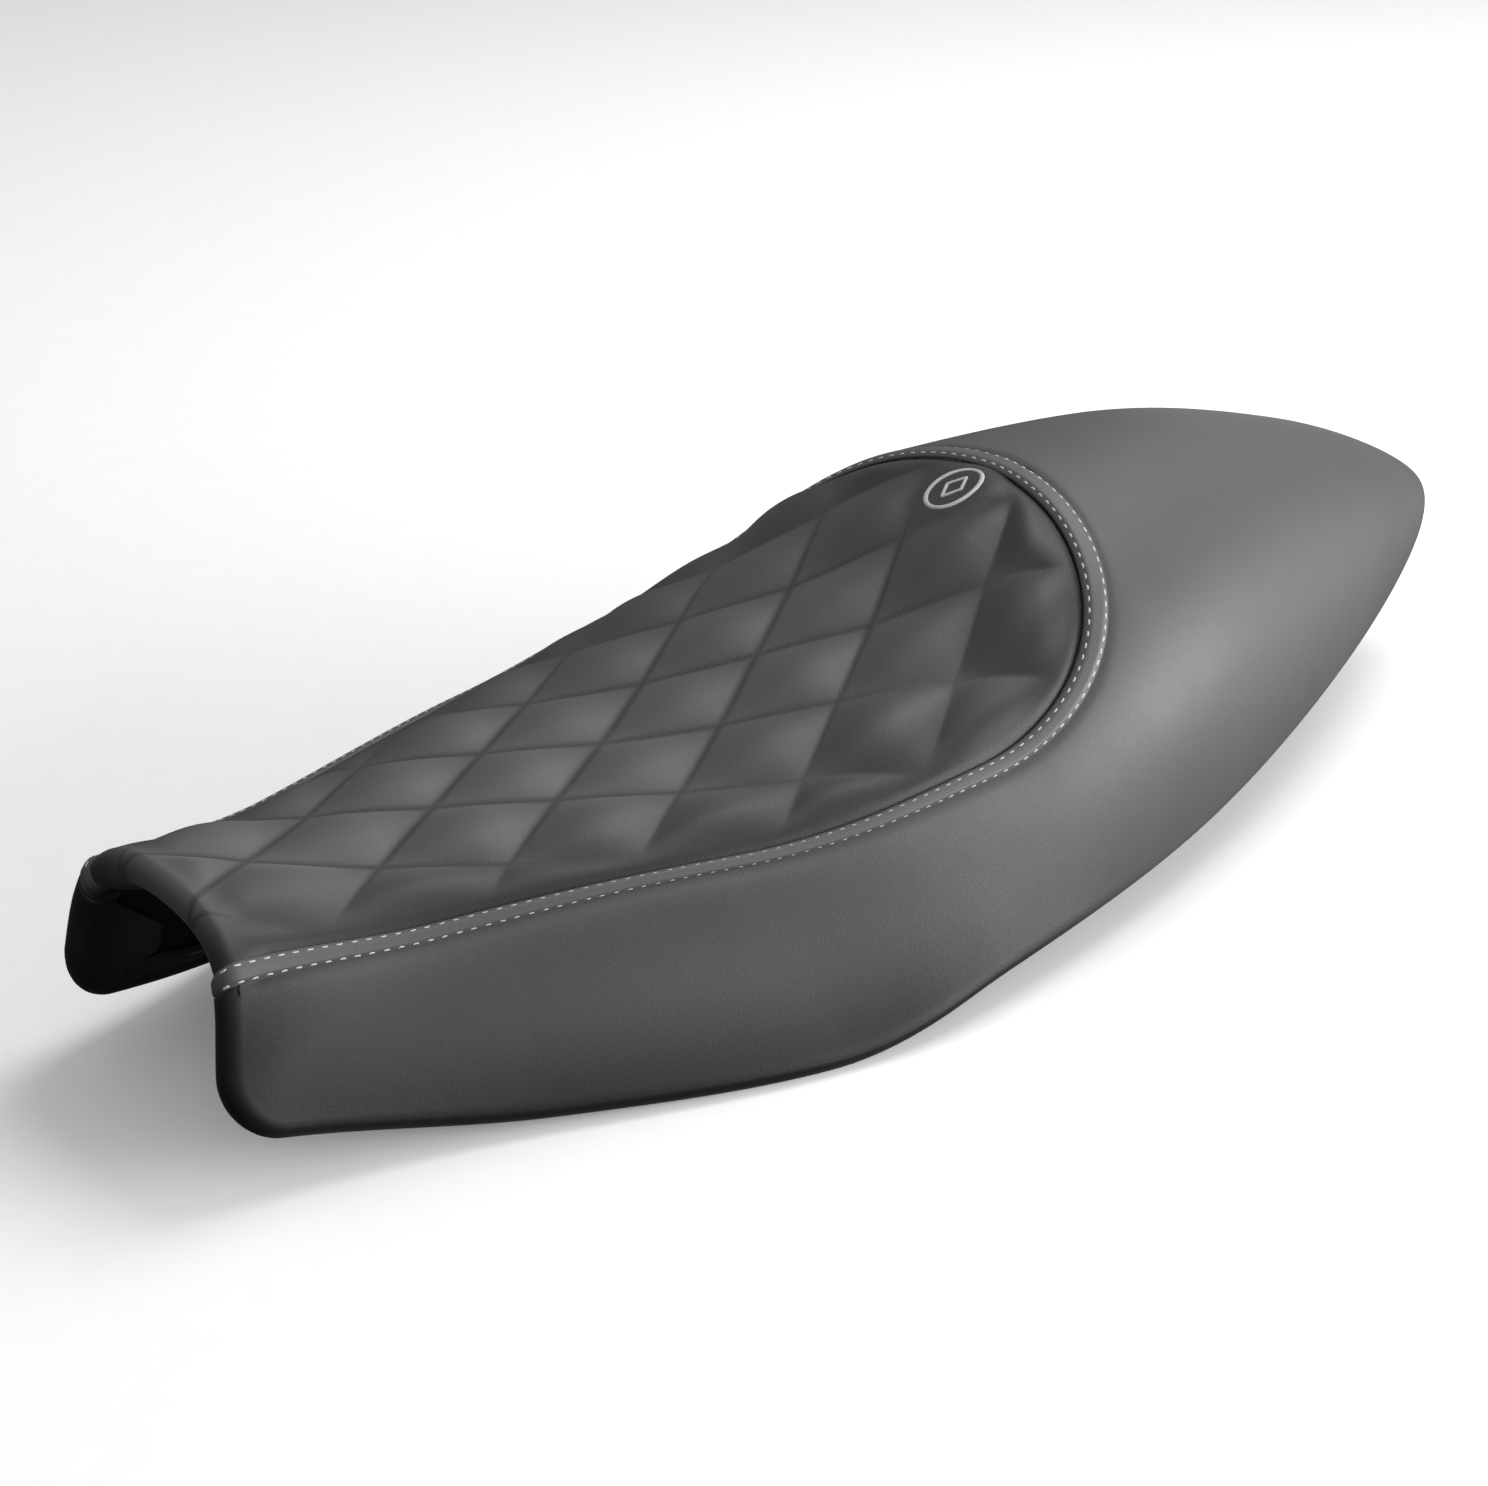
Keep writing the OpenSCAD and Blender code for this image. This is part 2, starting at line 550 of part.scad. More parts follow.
module staple(s, side) {
  v = 1 - hem_share * (strip_low + strip_high) / 2;
  p = hem_point(s, v, side);
  along = unit(hem_point(s + 0.004, v, side) - hem_point(s - 0.004, v, side));
  up = hem_point(s, v - 0.02, side) - hem_point(s, v + 0.02, side);
  out = unit(cross(along, up)) * side;
  across = cross(out, along);
  multmatrix([
    [along[0], across[0], out[0], p[0]],
    [along[1], across[1], out[1], p[1]],
    [along[2], across[2], out[2], p[2]]])
    translate([-staple_length / 2, -staple_wide / 2, 0])
    cube([staple_length, staple_wide, staple_t]);
}
module cover_staples()
  color([0.7, 0.7, 0.72])
  for (side = [-1, 1], i = [0 : staples - 1])
    staple(mix(staple_from, staple_to, i / (staples - 1)), side);

// Front tongue: a flat plate with a step down that hooks under the tank bracket
tongue_y = TONGUE_AT[0][1];
plate_front = tongue_y - 16;
plate_back = TONGUE_AT[1][1] + 14;
step_t = steel_t;
clearance_hole = screw_radius + 0.3;
module screw_holes(points, z) for (p = points) translate([p[0], p[1], z - 1])
  cylinder(r = clearance_hole, h = steel_t + 2, $fn = sides_round);
module front_tongue() color([0.62, 0.63, 0.65]) difference() {
  union() {
    translate([-tongue_width / 2, plate_front, tongue_z - steel_t])
      cube([tongue_width, plate_back - plate_front, steel_t]);
    translate([-tongue_width / 2, plate_front - step_t, tongue_z - steel_t - tongue_step])
      cube([tongue_width, step_t, tongue_step + steel_t]);
    translate([-tongue_width / 2, tongue_front - middle, tongue_z - steel_t - tongue_step])
      cube([tongue_width, plate_front - tongue_front + middle, steel_t]);
  }
  screw_holes(TONGUE_AT, tongue_z - steel_t);
}

// Fixings, each set round the points it holds
module insert(z) translate([0, 0, z + fit]) difference() {
  cylinder(r = insert_radius - fit, h = insert_length - 2 * fit, $fn = sides_round);
  translate([0, 0, -1]) cylinder(r = screw_radius + fit, h = insert_length + 2, $fn = sides_round);
}
module washer(z) translate([0, 0, z - washer_t]) difference() {
  cylinder(r = washer_radius, h = washer_t, $fn = sides_round);
  translate([0, 0, -1]) cylinder(r = clearance_hole, h = washer_t + 2, $fn = sides_round);
}
socket_radius = 2;
module screw(z) {
  under = z - washer_t;
  shank = washer_t + steel_t + insert_length - 1;
  difference() {
    union() {
      translate([0, 0, under - head_height]) cylinder(r = head_radius, h = head_height, $fn = sides_round);
      translate([0, 0, under]) cylinder(r = screw_radius, h = shank, $fn = sides_round);
    }
    translate([0, 0, under - head_height - 1]) cylinder(r = socket_radius, h = 3, $fn = 6);
  }
}
module set_at(points) for (p = points) translate([p[0], p[1], 0]) children();
module tongue_inserts() color([0.75, 0.6, 0.3]) set_at(TONGUE_AT) insert(tongue_z);
module tongue_washers() color([0.7, 0.7, 0.72]) set_at(TONGUE_AT) washer(tongue_z - steel_t);
module tongue_screws() color([0.55, 0.56, 0.58]) set_at(TONGUE_AT) screw(tongue_z - steel_t);
module latch_inserts() color([0.75, 0.6, 0.3]) set_at(LATCH_AT) insert(latch_z);
module latch_washers() color([0.7, 0.7, 0.72]) set_at(LATCH_AT) washer(latch_z - steel_t);
module latch_screws() color([0.55, 0.56, 0.58]) set_at(LATCH_AT) screw(latch_z - steel_t);

// Latch plate and the striker loop welded under it
latch_y = LATCH_AT[0][1];
plate_margin = 11;
latch_width = 2 * plate_margin;
module latch_plate() color([0.62, 0.63, 0.65]) difference() {
  translate([-latch_pitch / 2 - plate_margin, latch_y - latch_width / 2, latch_z - steel_t])
    cube([latch_pitch + 2 * plate_margin, latch_width, steel_t]);
  screw_holes(LATCH_AT, latch_z - steel_t);
}
bend = 6;
leg_x = striker_gap / 2 + striker_radius;
module striker_leg(side) translate([side * leg_x, latch_y, latch_z - steel_t - striker_drop + bend])
  cylinder(r = striker_radius, h = striker_drop - bend, $fn = sides_round);
module striker_bend(side) translate([side * (leg_x - bend), latch_y, latch_z - steel_t - striker_drop + bend])
  rotate([90, 0, 0])
  rotate([0, 0, side > 0 ? 270 : 180])
  rotate_extrude(angle = 90, $fn = sides_round)
  translate([bend, 0]) circle(r = striker_radius, $fn = sides_round);
module latch_striker() color([0.75, 0.76, 0.78]) {
  for (side = [-1, 1]) striker_leg(side);
  for (side = [-1, 1]) striker_bend(side);
  translate([-(leg_x - bend), latch_y, latch_z - steel_t - striker_drop])
    rotate([0, 90, 0])
    cylinder(r = striker_radius, h = 2 * (leg_x - bend), $fn = sides_round);
}

// Rubber buffers that rest on the frame rails, moulded to reach up to the shell
module buffers(points, z) color([0.06, 0.06, 0.06]) for (p = points)
  translate([p[0], p[1], z]) cylinder(r = buffer_radius, h = p[2] - z, $fn = sides_round);
module front_buffers() buffers(FRONT_BUFFERS, front_buffer_z);
module rear_buffers() buffers(REAR_BUFFERS, rear_buffer_z);

quilted_panel();
side_cover();
trim_band();
inner_stitching();
outer_stitching();
emblem();
foam_topper();
rider_foam();
tail_foam();
base_pan();
stiffening_ribs();
hem_strip();
cover_staples();
front_tongue();
tongue_standoffs();
tongue_inserts();
tongue_washers();
tongue_screws();
latch_plate();
latch_striker();
latch_standoffs();
latch_inserts();
latch_washers();
latch_screws();
front_buffers();
rear_buffers();
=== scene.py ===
"""Looks for a solo motorcycle seat: quilted panel in a sewn band, smooth cover, bullet tail."""
import math

import bmesh
import bpy
import numpy as np
from mathutils import Matrix, Vector
from mathutils.bvhtree import BVHTree
from mathutils.kdtree import KDTree


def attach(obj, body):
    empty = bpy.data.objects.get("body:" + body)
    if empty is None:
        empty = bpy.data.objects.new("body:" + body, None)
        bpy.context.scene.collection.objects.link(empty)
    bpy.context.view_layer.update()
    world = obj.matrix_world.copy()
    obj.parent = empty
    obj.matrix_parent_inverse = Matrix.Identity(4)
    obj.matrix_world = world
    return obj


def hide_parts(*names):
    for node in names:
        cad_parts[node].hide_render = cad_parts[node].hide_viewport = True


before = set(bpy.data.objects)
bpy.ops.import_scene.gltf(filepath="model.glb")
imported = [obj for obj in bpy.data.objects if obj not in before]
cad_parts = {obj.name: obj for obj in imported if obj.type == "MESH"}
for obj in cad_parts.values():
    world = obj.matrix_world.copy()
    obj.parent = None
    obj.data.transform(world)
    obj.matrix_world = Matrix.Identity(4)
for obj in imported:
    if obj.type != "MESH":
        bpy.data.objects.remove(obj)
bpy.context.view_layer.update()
MM = 0.001

# ---------------------------------------------------------------- the seat's own dimensions, mm
LENGTH = 735.0
ROLL = 5.5
MIDDLE = (LENGTH + 2.3) / 2
SHEET_START = (ROLL + 0.001) / LENGTH
CORNER = 20.0
CORNER_S = SHEET_START + (CORNER - ROLL) / LENGTH
CORNER_SHARE = 0.18
COVER_T = 1.6
GAP = 0.25
PAN_WALL = 3.9
PAN_DEPTH = 2 * ROLL - COVER_T - GAP - PAN_WALL
FOAM_DEPTH = COVER_T + GAP
TOPPER_T = 5.0
TOPPER_SHARE = 0.45
BAND = 10.5
PROUD = 0.6
APEX = 0.577
FOAM_END = 0.62
PLAN = dict(front=66.0, wide=142.0, at=0.373, opening=0.265, power=1.61, root=1.275)
TIP = 68.5
CROWN_AT = (0, 0.12, 0.28, 0.44, 0.58, 0.7, 0.85, 1)
CROWN = (100.5, 88.5, 90.5, 115.5, 160, 163.5, 150.5, 124)
EDGE_AT = (0, 0.16, 0.3, 0.42, 0.6, 0.8, 1)
EDGE = (24, 3.5, 0, 13, 22, 42.5, 67)
SECTION_AT = (0, 0.25, 0.6, 1)
SHOULDER = (1.06, 1.11, (1.06 + 2 * 0.535) / 3 + 0.015, 0.535)
FLANK = (0.51, 0.83, (0.51 + 2 * 0.505) / 3 + 0.015, 0.505)
BELLY = (0.8, 0.47, 1.04, 1.07)
LEAN, LEAN_UNTIL = 13.0, 0.3
CLOSE_POWER, CLOSE_ROOT = 6, 1.93
PAD_AT = (0, 0.14, 0.5, 0.66, 1)
PAD = (5.25, 33, 35, 12, 12)
SEAM = dict(front=0.394, dip=0.203, spread=0.563, power=8, root=1.45)
GIRTH = dict(half=0.27, front=0.62, until=0.3)
HEM = 0.12
FRONT_HEM, BAND_HEM = 14.0, 5.0
EMBLEM_S, EMBLEM_LONG, EMBLEM_WIDE = 0.548, 15.0, 10.0
QUILT_X, QUILT_Y, QUILT_0 = 51.0, 80.9, -319.0


def curve(xs, ys, x):
    """Smooth curve through stations without overshoot, as in the part's source."""
    xs, ys, x = np.array(xs, float), np.array(ys, float), np.asarray(x, float)
    h = np.diff(xs)
    d = np.diff(ys) / h
    m = np.zeros(len(xs))
    for i in range(1, len(xs) - 1):
        if d[i - 1] * d[i] > 0:
            m[i] = 3 * (h[i - 1] + h[i]) / (
                (2 * h[i] + h[i - 1]) / d[i - 1] + (h[i] + 2 * h[i - 1]) / d[i])
    m[0], m[-1] = d[0], d[-1]
    i = np.clip(np.searchsorted(xs, x, side="right") - 1, 0, len(xs) - 2)
    t = (x - xs[i]) / h[i]
    return (ys[i] * (2 * t**3 - 3 * t**2 + 1) + h[i] * m[i] * (t**3 - 2 * t**2 + t)
            + ys[i + 1] * (3 * t**2 - 2 * t**3) + h[i] * m[i + 1] * (t**3 - t**2))


def form(s, v, side=0.0, top=0.0):
    """Point of the seat's outer form, mm. side and top say how deep a layer lies under it."""
    s, v = np.broadcast_arrays(np.asarray(s, float), np.asarray(v, float))
    side = np.asarray(side, float)
    t = np.clip(s / PLAN["at"], 0, 1)
    g = (t**3 - 2 * t**2 + t) * PLAN["opening"] + 3 * t * t - 2 * t**3
    u = np.clip((s - PLAN["at"]) / (1 - PLAN["at"]), 0, 1)
    fore = PLAN["front"] + (PLAN["wide"] - PLAN["front"]) * g - side
    aft = (PLAN["wide"] - side) * np.maximum(1 - u ** PLAN["power"], 0) ** (1 / PLAN["root"])
    w = np.where(s < PLAN["at"], fore, aft)
    close = np.maximum(1 - np.clip(s, 0, 1) ** CLOSE_POWER, 0) ** (1 / CLOSE_ROOT)
    up = TIP + (curve(CROWN_AT, CROWN, s) - top - TIP) * close
    low = TIP + (curve(EDGE_AT, EDGE, s) + ROLL - TIP) * close
    a = np.abs(v)

    def bezier(p, q, r):
        return 3 * (1 - a) ** 2 * a * p + 3 * (1 - a) * a * a * q + a**3 * r

    x = bezier(curve(SECTION_AT, SHOULDER, s) * w, curve(SECTION_AT, BELLY, s) * w, w)
    h = (1 - a) ** 3 + bezier(1, curve(SECTION_AT, FLANK, s), 0)
    hc = np.clip(h, 0, 1)
    lean = LEAN * (1 - np.clip(s / LEAN_UNTIL, 0, 1)) ** 2 * (0.4 * hc + 0.6 * hc * hc)
    return np.stack([np.sign(v) * x, s * (LENGTH - side) + lean - MIDDLE, low + (up - low) * h], -1)


def normal(s, v):
    """Outward unit normal of the outer form."""
    e = 1e-3
    s = np.clip(np.asarray(s, float), 0, 1 - 1.5 * e)
    v = np.clip(np.asarray(v, float), e - 1, 1 - e)
    ds = form(s + e, v) - form(s - e, v)
    dv = form(s, v + e) - form(s, v - e)
    n = np.cross(dv, ds)
    return n / np.maximum(np.linalg.norm(n, axis=-1, keepdims=True), 1e-9)


def pad(s):
    return curve(PAD_AT, PAD, s)


def hem_level(s, thick=0.0):
    """Depth of the cover's turned-in hem: [from the flank, from the crown]."""
    return (PAN_DEPTH + PAN_WALL + GAP + COVER_T - thick,
            pad(s) + PAN_WALL + GAP + COVER_T - thick)


def rolled(s, v, turn, a, r):
    """Point on the roll round an edge. turn: 0 the lower edge, 90 degrees the front edge."""
    d = ROLL - r * np.cos(a)
    p = form(s, v, d, d / (2 * ROLL) * (pad(s) + PAN_WALL + GAP + COVER_T))
    drop = r * np.sin(a)
    return p + np.stack([0 * p[..., 0], -np.sin(turn) * drop + 0 * p[..., 0],
                         -np.cos(turn) * drop + 0 * p[..., 0]], -1)


def seam(u, out):
    """Station and across-value of the seam (out 0) or of the band's other edge (out 1)."""
    u = np.asarray(u, float)
    s = SHEET_START + (APEX + out * BAND / LENGTH - SHEET_START) * u
    widen = GIRTH["front"] + (1 - GIRTH["front"]) * np.clip(u * APEX / GIRTH["until"], 0, 1)
    share = BAND / (LENGTH * GIRTH["half"] * widen)
    close = np.maximum(1 - np.clip(u, 0, 1) ** SEAM["power"], 0) ** (1 / SEAM["root"])
    return s, (SEAM["front"] - SEAM["dip"] * u + SEAM["spread"] * u * u + out * share) * close


# ---------------------------------------------------------------- mesh helpers
def build(name, points, faces, material, smooth=True):
    mesh = bpy.data.meshes.new(name)
    mesh.from_pydata((np.asarray(points) * MM).tolist(), [], faces)
    mesh.validate()
    mesh.update()
    obj = bpy.data.objects.new(name, mesh)
    bpy.context.scene.collection.objects.link(obj)
    if smooth:
        mesh.polygons.foreach_set("use_smooth", [True] * len(mesh.polygons))
    mesh.materials.append(material)
    return obj


def quads(rows, cols, start=0, flip=False):
    i, j = np.meshgrid(np.arange(rows - 1), np.arange(cols - 1), indexing="ij")
    a = (start + i * cols + j).ravel()
    f = np.stack([a, a + cols, a + cols + 1, a + 1], -1)
    return (f[:, ::-1] if flip else f).tolist()


def grid(name, p, material, flip=False):
    rows, cols = p.shape[:2]
    return build(name, p.reshape(-1, 3), quads(rows, cols, 0, flip), material)


def weld(obj, distance=0.02):
    """Merges points closer than distance mm and drops what collapses."""
    bm = bmesh.new()
    bm.from_mesh(obj.data)
    bmesh.ops.remove_doubles(bm, verts=bm.verts, dist=distance * MM)
    bmesh.ops.dissolve_degenerate(bm, dist=1e-6, edges=bm.edges)
    bm.to_mesh(obj.data)
    bm.free()
    obj.data.polygons.foreach_set("use_smooth", [True] * len(obj.data.polygons))


def two_wings(name, wing, material, distance=0.02):
    """A piece made of one half and its mirror image, welded on the centre line."""
    rows, cols = wing.shape[:2]
    other = wing * np.array([-1, 1, 1])
    faces = quads(rows, cols) + quads(rows, cols, rows * cols, True)
    obj = build(name, np.concatenate([wing.reshape(-1, 3), other.reshape(-1, 3)]), faces, material)
    weld(obj, distance)
    return obj


def apply_modifiers(obj):
    dep = bpy.context.evaluated_depsgraph_get()
    mesh = bpy.data.meshes.new_from_object(obj.evaluated_get(dep))
    obj.modifiers.clear()
    obj.data = mesh


def thicken(obj, mm, offset=-1.0):
    """Gives an open sheet its thickness, inwards from the face seen."""
    mod = obj.modifiers.new("thickness", "SOLIDIFY")
    mod.thickness = mm * MM
    mod.offset = offset
    mod.use_even_offset = False
    apply_modifiers(obj)


def smoothstep(x):
    x = np.clip(x, 0, 1)
    return x * x * (3 - 2 * x)


def noise3(p, scale, seed=0):
    """Soft repeatable undulation made of a few crossed sine waves, -1 to 1."""
    rng = np.random.RandomState(seed)
    total = np.zeros(p.shape[:-1])
    for k in range(7):
        direction = rng.normal(size=3)
        direction /= np.linalg.norm(direction)
        phase = rng.uniform(0, 2 * math.pi)
        wave = scale * rng.uniform(0.6, 1.7)
        total += np.sin(p @ direction * 2 * math.pi / wave + phase)
    return total / 7 * 1.6


def distance_to(line, points):
    """Distance, mm, from each point to the nearest point of a densely sampled line."""
    tree = KDTree(len(line))
    for i, q in enumerate(line):
        tree.insert(q, i)
    tree.balance()
    flat = points.reshape(-1, 3)
    return np.array([tree.find(q)[2] for q in flat]).reshape(points.shape[:-1])


def seam_line(out):
    """The seam (out 0) or the band's other edge (out 1), both sides, densely sampled."""
    u = np.concatenate([np.linspace(0, 0.9, 500)[:-1],
                        0.9 + 0.1 * np.sin(np.linspace(0, 1, 300) * math.pi / 2)])
    s, v = seam(u, out)
    line = form(s, v)
    return np.concatenate([line, line * np.array([-1, 1, 1])])


SHADE_FADE = 130
REAR_FROM, REAR_OVER = -230, 230


def shade(obj, line, reach, soft=2.0, until=1e9, rear_reach=None, least=None):
    """Stores painted shade: how near each point lies to a line, 1 on it, fading out over reach mm.

    The vinyl scales its colour down by it. The reach turns into rear_reach from y = REAR_FROM mm
    on, over REAR_OVER mm. The shade fades out behind y = until mm, over SHADE_FADE mm, and never
    falls under least(x, y).
    """
    points = np.empty(len(obj.data.vertices) * 3)
    obj.data.vertices.foreach_get("co", points)
    points = points.reshape(-1, 3) / MM
    d = distance_to(line, points)
    if rear_reach is not None:
        reach = reach + (rear_reach - reach) * smoothstep((points[:, 1] - REAR_FROM) / REAR_OVER)
    near = np.exp(-(d / reach) ** soft) * (1 - smoothstep((points[:, 1] - until) / SHADE_FADE))
    if least is not None:
        near = np.maximum(near, least(points[:, 0], points[:, 1]))
    store = obj.data.attributes.new("shade", "FLOAT", "POINT")
    store.data.foreach_set("value", near)


# ---------------------------------------------------------------- materials
class Nodes:
    """Small helper to lay out a node tree."""

    def __init__(self, name, base, roughness, metallic=0.0):
        self.mat = bpy.data.materials.new(name)
        self.mat.use_nodes = True
        self.tree = self.mat.node_tree
        self.bsdf = self.tree.nodes["Principled BSDF"]
        self.set("Base Color", (*base, 1))
        self.set("Roughness", roughness)
        self.set("Metallic", metallic)
        self.coord = self.add("ShaderNodeTexCoord").outputs["Object"]

    def set(self, socket, value):
        self.bsdf.inputs[socket].default_value = value

    def add(self, kind, inputs=None, **props):
        node = self.tree.nodes.new(kind)
        for key, value in props.items():
            setattr(node, key, value)
        for key, value in (inputs or {}).items():
            if isinstance(value, bpy.types.NodeSocket):
                self.tree.links.new(value, node.inputs[key])
            else:
                node.inputs[key].default_value = value
        return node

    def link(self, a, b):
        self.tree.links.new(a, b)

    def noise(self, scale, detail=4, rough=0.55, vector=None):
        return self.add("ShaderNodeTexNoise", {"Vector": vector or self.coord, "Scale": scale,
                        "Detail": detail, "Roughness": rough}).outputs["Fac"]

    def ranged(self, value, low, high, a=0.0, b=1.0):
        return self.add("ShaderNodeMapRange", {"Value": value, "From Min": a, "From Max": b,
                        "To Min": low, "To Max": high}).outputs["Result"]

    def maths(self, op, a, b=None):
        node = self.add("ShaderNodeMath", operation=op)
        for i, value in enumerate((a, b)):
            if value is None:
                continue
            if isinstance(value, bpy.types.NodeSocket):
                self.link(value, node.inputs[i])
            else:
                node.inputs[i].default_value = value
        return node.outputs[0]

    def tint(self, base, fac, spread):
        """Base colour scaled from 1 - spread to 1 + spread by fac."""
        scale = self.ranged(fac, 1 - spread, 1 + spread, 0.25, 0.75)
        node = self.add("ShaderNodeVectorMath", {0: (*base,)}, operation="SCALE")
        self.link(scale, node.inputs["Scale"])
        return node.outputs["Vector"]

    def bump(self, height, strength, distance, under=None):
        node = self.add("ShaderNodeBump", {"Height": height, "Strength": strength,
                        "Distance": distance})
        if under is not None:
            self.link(under, node.inputs["Normal"])
        return node.outputs["Normal"]


def vinyl(name, base, rough, grain=1.0, spread=0.07, sheen=0.06, rim=1.0):
    """Upholstery vinyl: fine pebble grain over a soft undulation, with slightly uneven gloss, and
    painted shade where the mesh's shade attribute is high.
    """
    n = Nodes(name, base, rough)
    warp = n.add("ShaderNodeTexNoise", {"Vector": n.coord, "Scale": 420.0, "Detail": 2.0})
    mixed = n.add("ShaderNodeMix", {"Factor": 0.0012}, data_type="VECTOR")
    n.link(n.coord, mixed.inputs[4])
    n.link(warp.outputs["Color"], mixed.inputs[5])
    cell = n.add("ShaderNodeTexVoronoi", {"Vector": mixed.outputs[1], "Scale": 1050.0 / grain},
                 feature="SMOOTH_F1")
    cell.inputs["Smoothness"].default_value = 0.6
    pores = n.noise(2600.0 / grain, 2)
    soft = n.noise(26.0, 3)
    patchy = n.noise(9.0, 3, 0.6)
    first = n.bump(soft, 0.25, 0.0012)
    second = n.bump(n.maths("MULTIPLY", cell.outputs["Distance"], -1.0), 0.12, 0.00035, first)
    third = n.bump(pores, 0.07, 0.0002, second)
    n.link(third, n.bsdf.inputs["Normal"])
    # Painted shade: the base colour is scaled down towards rim where the 'shade' attribute is 1,
    # near seams, edges, creases and the panel's head.
    near = n.add("ShaderNodeAttribute", attribute_name="shade").outputs["Fac"]
    cloudy = n.tint(base, n.maths("ADD", n.maths("MULTIPLY", patchy, 0.6),
                    n.maths("MULTIPLY", soft, 0.4)), spread)
    painted_shade_colour = n.add("ShaderNodeVectorMath", {0: cloudy}, operation="SCALE")
    n.link(n.ranged(near, 1.0, rim), painted_shade_colour.inputs["Scale"])
    n.link(painted_shade_colour.outputs["Vector"], n.bsdf.inputs["Base Color"])
    gloss = n.maths("ADD", n.ranged(patchy, rough - 0.05, rough + 0.05, 0.3, 0.7),
                    n.maths("MULTIPLY", cell.outputs["Distance"], 0.06))
    n.link(gloss, n.bsdf.inputs["Roughness"])
    n.set("Sheen Weight", sheen)
    n.set("Sheen Roughness", 0.45)
    n.set("Specular IOR Level", 0.36)
    return n.mat


def yarn(name, base, twist=1500.0):
    """Sewing or embroidery thread: a tight twist and a silky sheen."""
    n = Nodes(name, base, 0.42)
    wave = n.add("ShaderNodeTexWave", {"Vector": n.coord, "Scale": twist, "Distortion": 1.5,
                 "Detail": 1.0}, bands_direction="DIAGONAL")
    fuzz = n.noise(3200.0, 2)
    n.link(n.bump(fuzz, 0.3, 0.0002, n.bump(wave.outputs["Fac"], 0.45, 0.00025)),
           n.bsdf.inputs["Normal"])
    n.link(n.tint(base, fuzz, 0.1), n.bsdf.inputs["Base Color"])
    n.set("Sheen Weight", 0.35)
    n.set("Sheen Roughness", 0.35)
    return n.mat


def foam(name, base):
    n = Nodes(name, base, 0.9)
    cell = n.add("ShaderNodeTexVoronoi", {"Vector": n.coord, "Scale": 900.0})
    n.link(n.bump(cell.outputs["Distance"], 0.6, 0.0006), n.bsdf.inputs["Normal"])
    n.link(n.tint(base, n.noise(18.0), 0.12), n.bsdf.inputs["Base Color"])
    n.set("Sheen Weight", 0.2)
    return n.mat


def moulded(name, base, rough=0.6, grain=700.0):
    """Moulded plastic or rubber with a fine spark-eroded texture and faint flow marks."""
    n = Nodes(name, base, rough)
    fine = n.noise(grain, 3)
    flow = n.noise(14.0, 3, 0.6)
    n.link(n.bump(fine, 0.3, 0.0003, n.bump(flow, 0.12, 0.001)), n.bsdf.inputs["Normal"])
    n.link(n.tint(base, flow, 0.15), n.bsdf.inputs["Base Color"])
    n.link(n.ranged(fine, rough - 0.08, rough + 0.08, 0.3, 0.7), n.bsdf.inputs["Roughness"])
    n.set("Specular IOR Level", 0.35)
    return n.mat


def plated(name, base, rough=0.34):
    """Zinc-plated steel or turned brass: mottled, faintly brushed."""
    n = Nodes(name, base, rough, 1.0)
    mottle = n.noise(120.0, 4, 0.65)
    stretch = n.add("ShaderNodeMapping", {"Vector": n.coord, "Scale": (60.0, 1400.0, 1400.0)})
    brush = n.noise(1.0, 3, 0.5, stretch.outputs["Vector"])
    n.link(n.tint(base, mottle, 0.14), n.bsdf.inputs["Base Color"])
    n.link(n.ranged(mottle, rough - 0.08, rough + 0.14, 0.3, 0.7), n.bsdf.inputs["Roughness"])
    n.link(n.bump(brush, 0.18, 0.0001), n.bsdf.inputs["Normal"])
    return n.mat


SIDE_GREY = (0.047, 0.048, 0.0467)
PANEL_GREY = (0.068, 0.0685, 0.067)
BAND_GREY = (0.066, 0.065, 0.063)
side_vinyl = vinyl("side_vinyl", SIDE_GREY, 0.54, rim=0.05)
panel_vinyl = vinyl("panel_vinyl", PANEL_GREY, 0.5, spread=0.1, rim=0.1)
band_vinyl = vinyl("band_vinyl", BAND_GREY, 0.5, rim=0.05)
thread = yarn("thread", (0.5, 0.5, 0.485))
emblem_thread = yarn("emblem_thread", (0.4, 0.4, 0.41), 900.0)
foam_mat = foam("foam", (0.62, 0.56, 0.40))
wadding_mat = foam("wadding", (0.78, 0.77, 0.72))
shell_plastic = moulded("shell_plastic", (0.012, 0.012, 0.0125), 0.55)
strip_plastic = moulded("strip_plastic", (0.02, 0.02, 0.021), 0.5)
buffer_rubber = moulded("buffer_rubber", (0.011, 0.011, 0.011), 0.75, 1100.0)
zinc = plated("zinc", (0.58, 0.59, 0.60))
screw_zinc = plated("screw_zinc", (0.46, 0.47, 0.49), 0.3)
staple_wire = plated("staple_wire", (0.62, 0.62, 0.63), 0.28)
brass = plated("brass", (0.72, 0.55, 0.26), 0.32)
CAD_LOOKS = {
    "stiffening_ribs": shell_plastic, "tongue_standoffs": shell_plastic,
    "latch_standoffs": shell_plastic, "hem_strip": strip_plastic, "cover_staples": staple_wire,
    "front_tongue": zinc, "latch_plate": zinc, "latch_striker": zinc, "tongue_washers": zinc,
    "latch_washers": zinc, "tongue_screws": screw_zinc, "latch_screws": screw_zinc,
    "tongue_inserts": brass, "latch_inserts": brass, "front_buffers": buffer_rubber,
    "rear_buffers": buffer_rubber,
}
for node_name, material in CAD_LOOKS.items():
    for material_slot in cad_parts[node_name].material_slots:
        material_slot.material = material


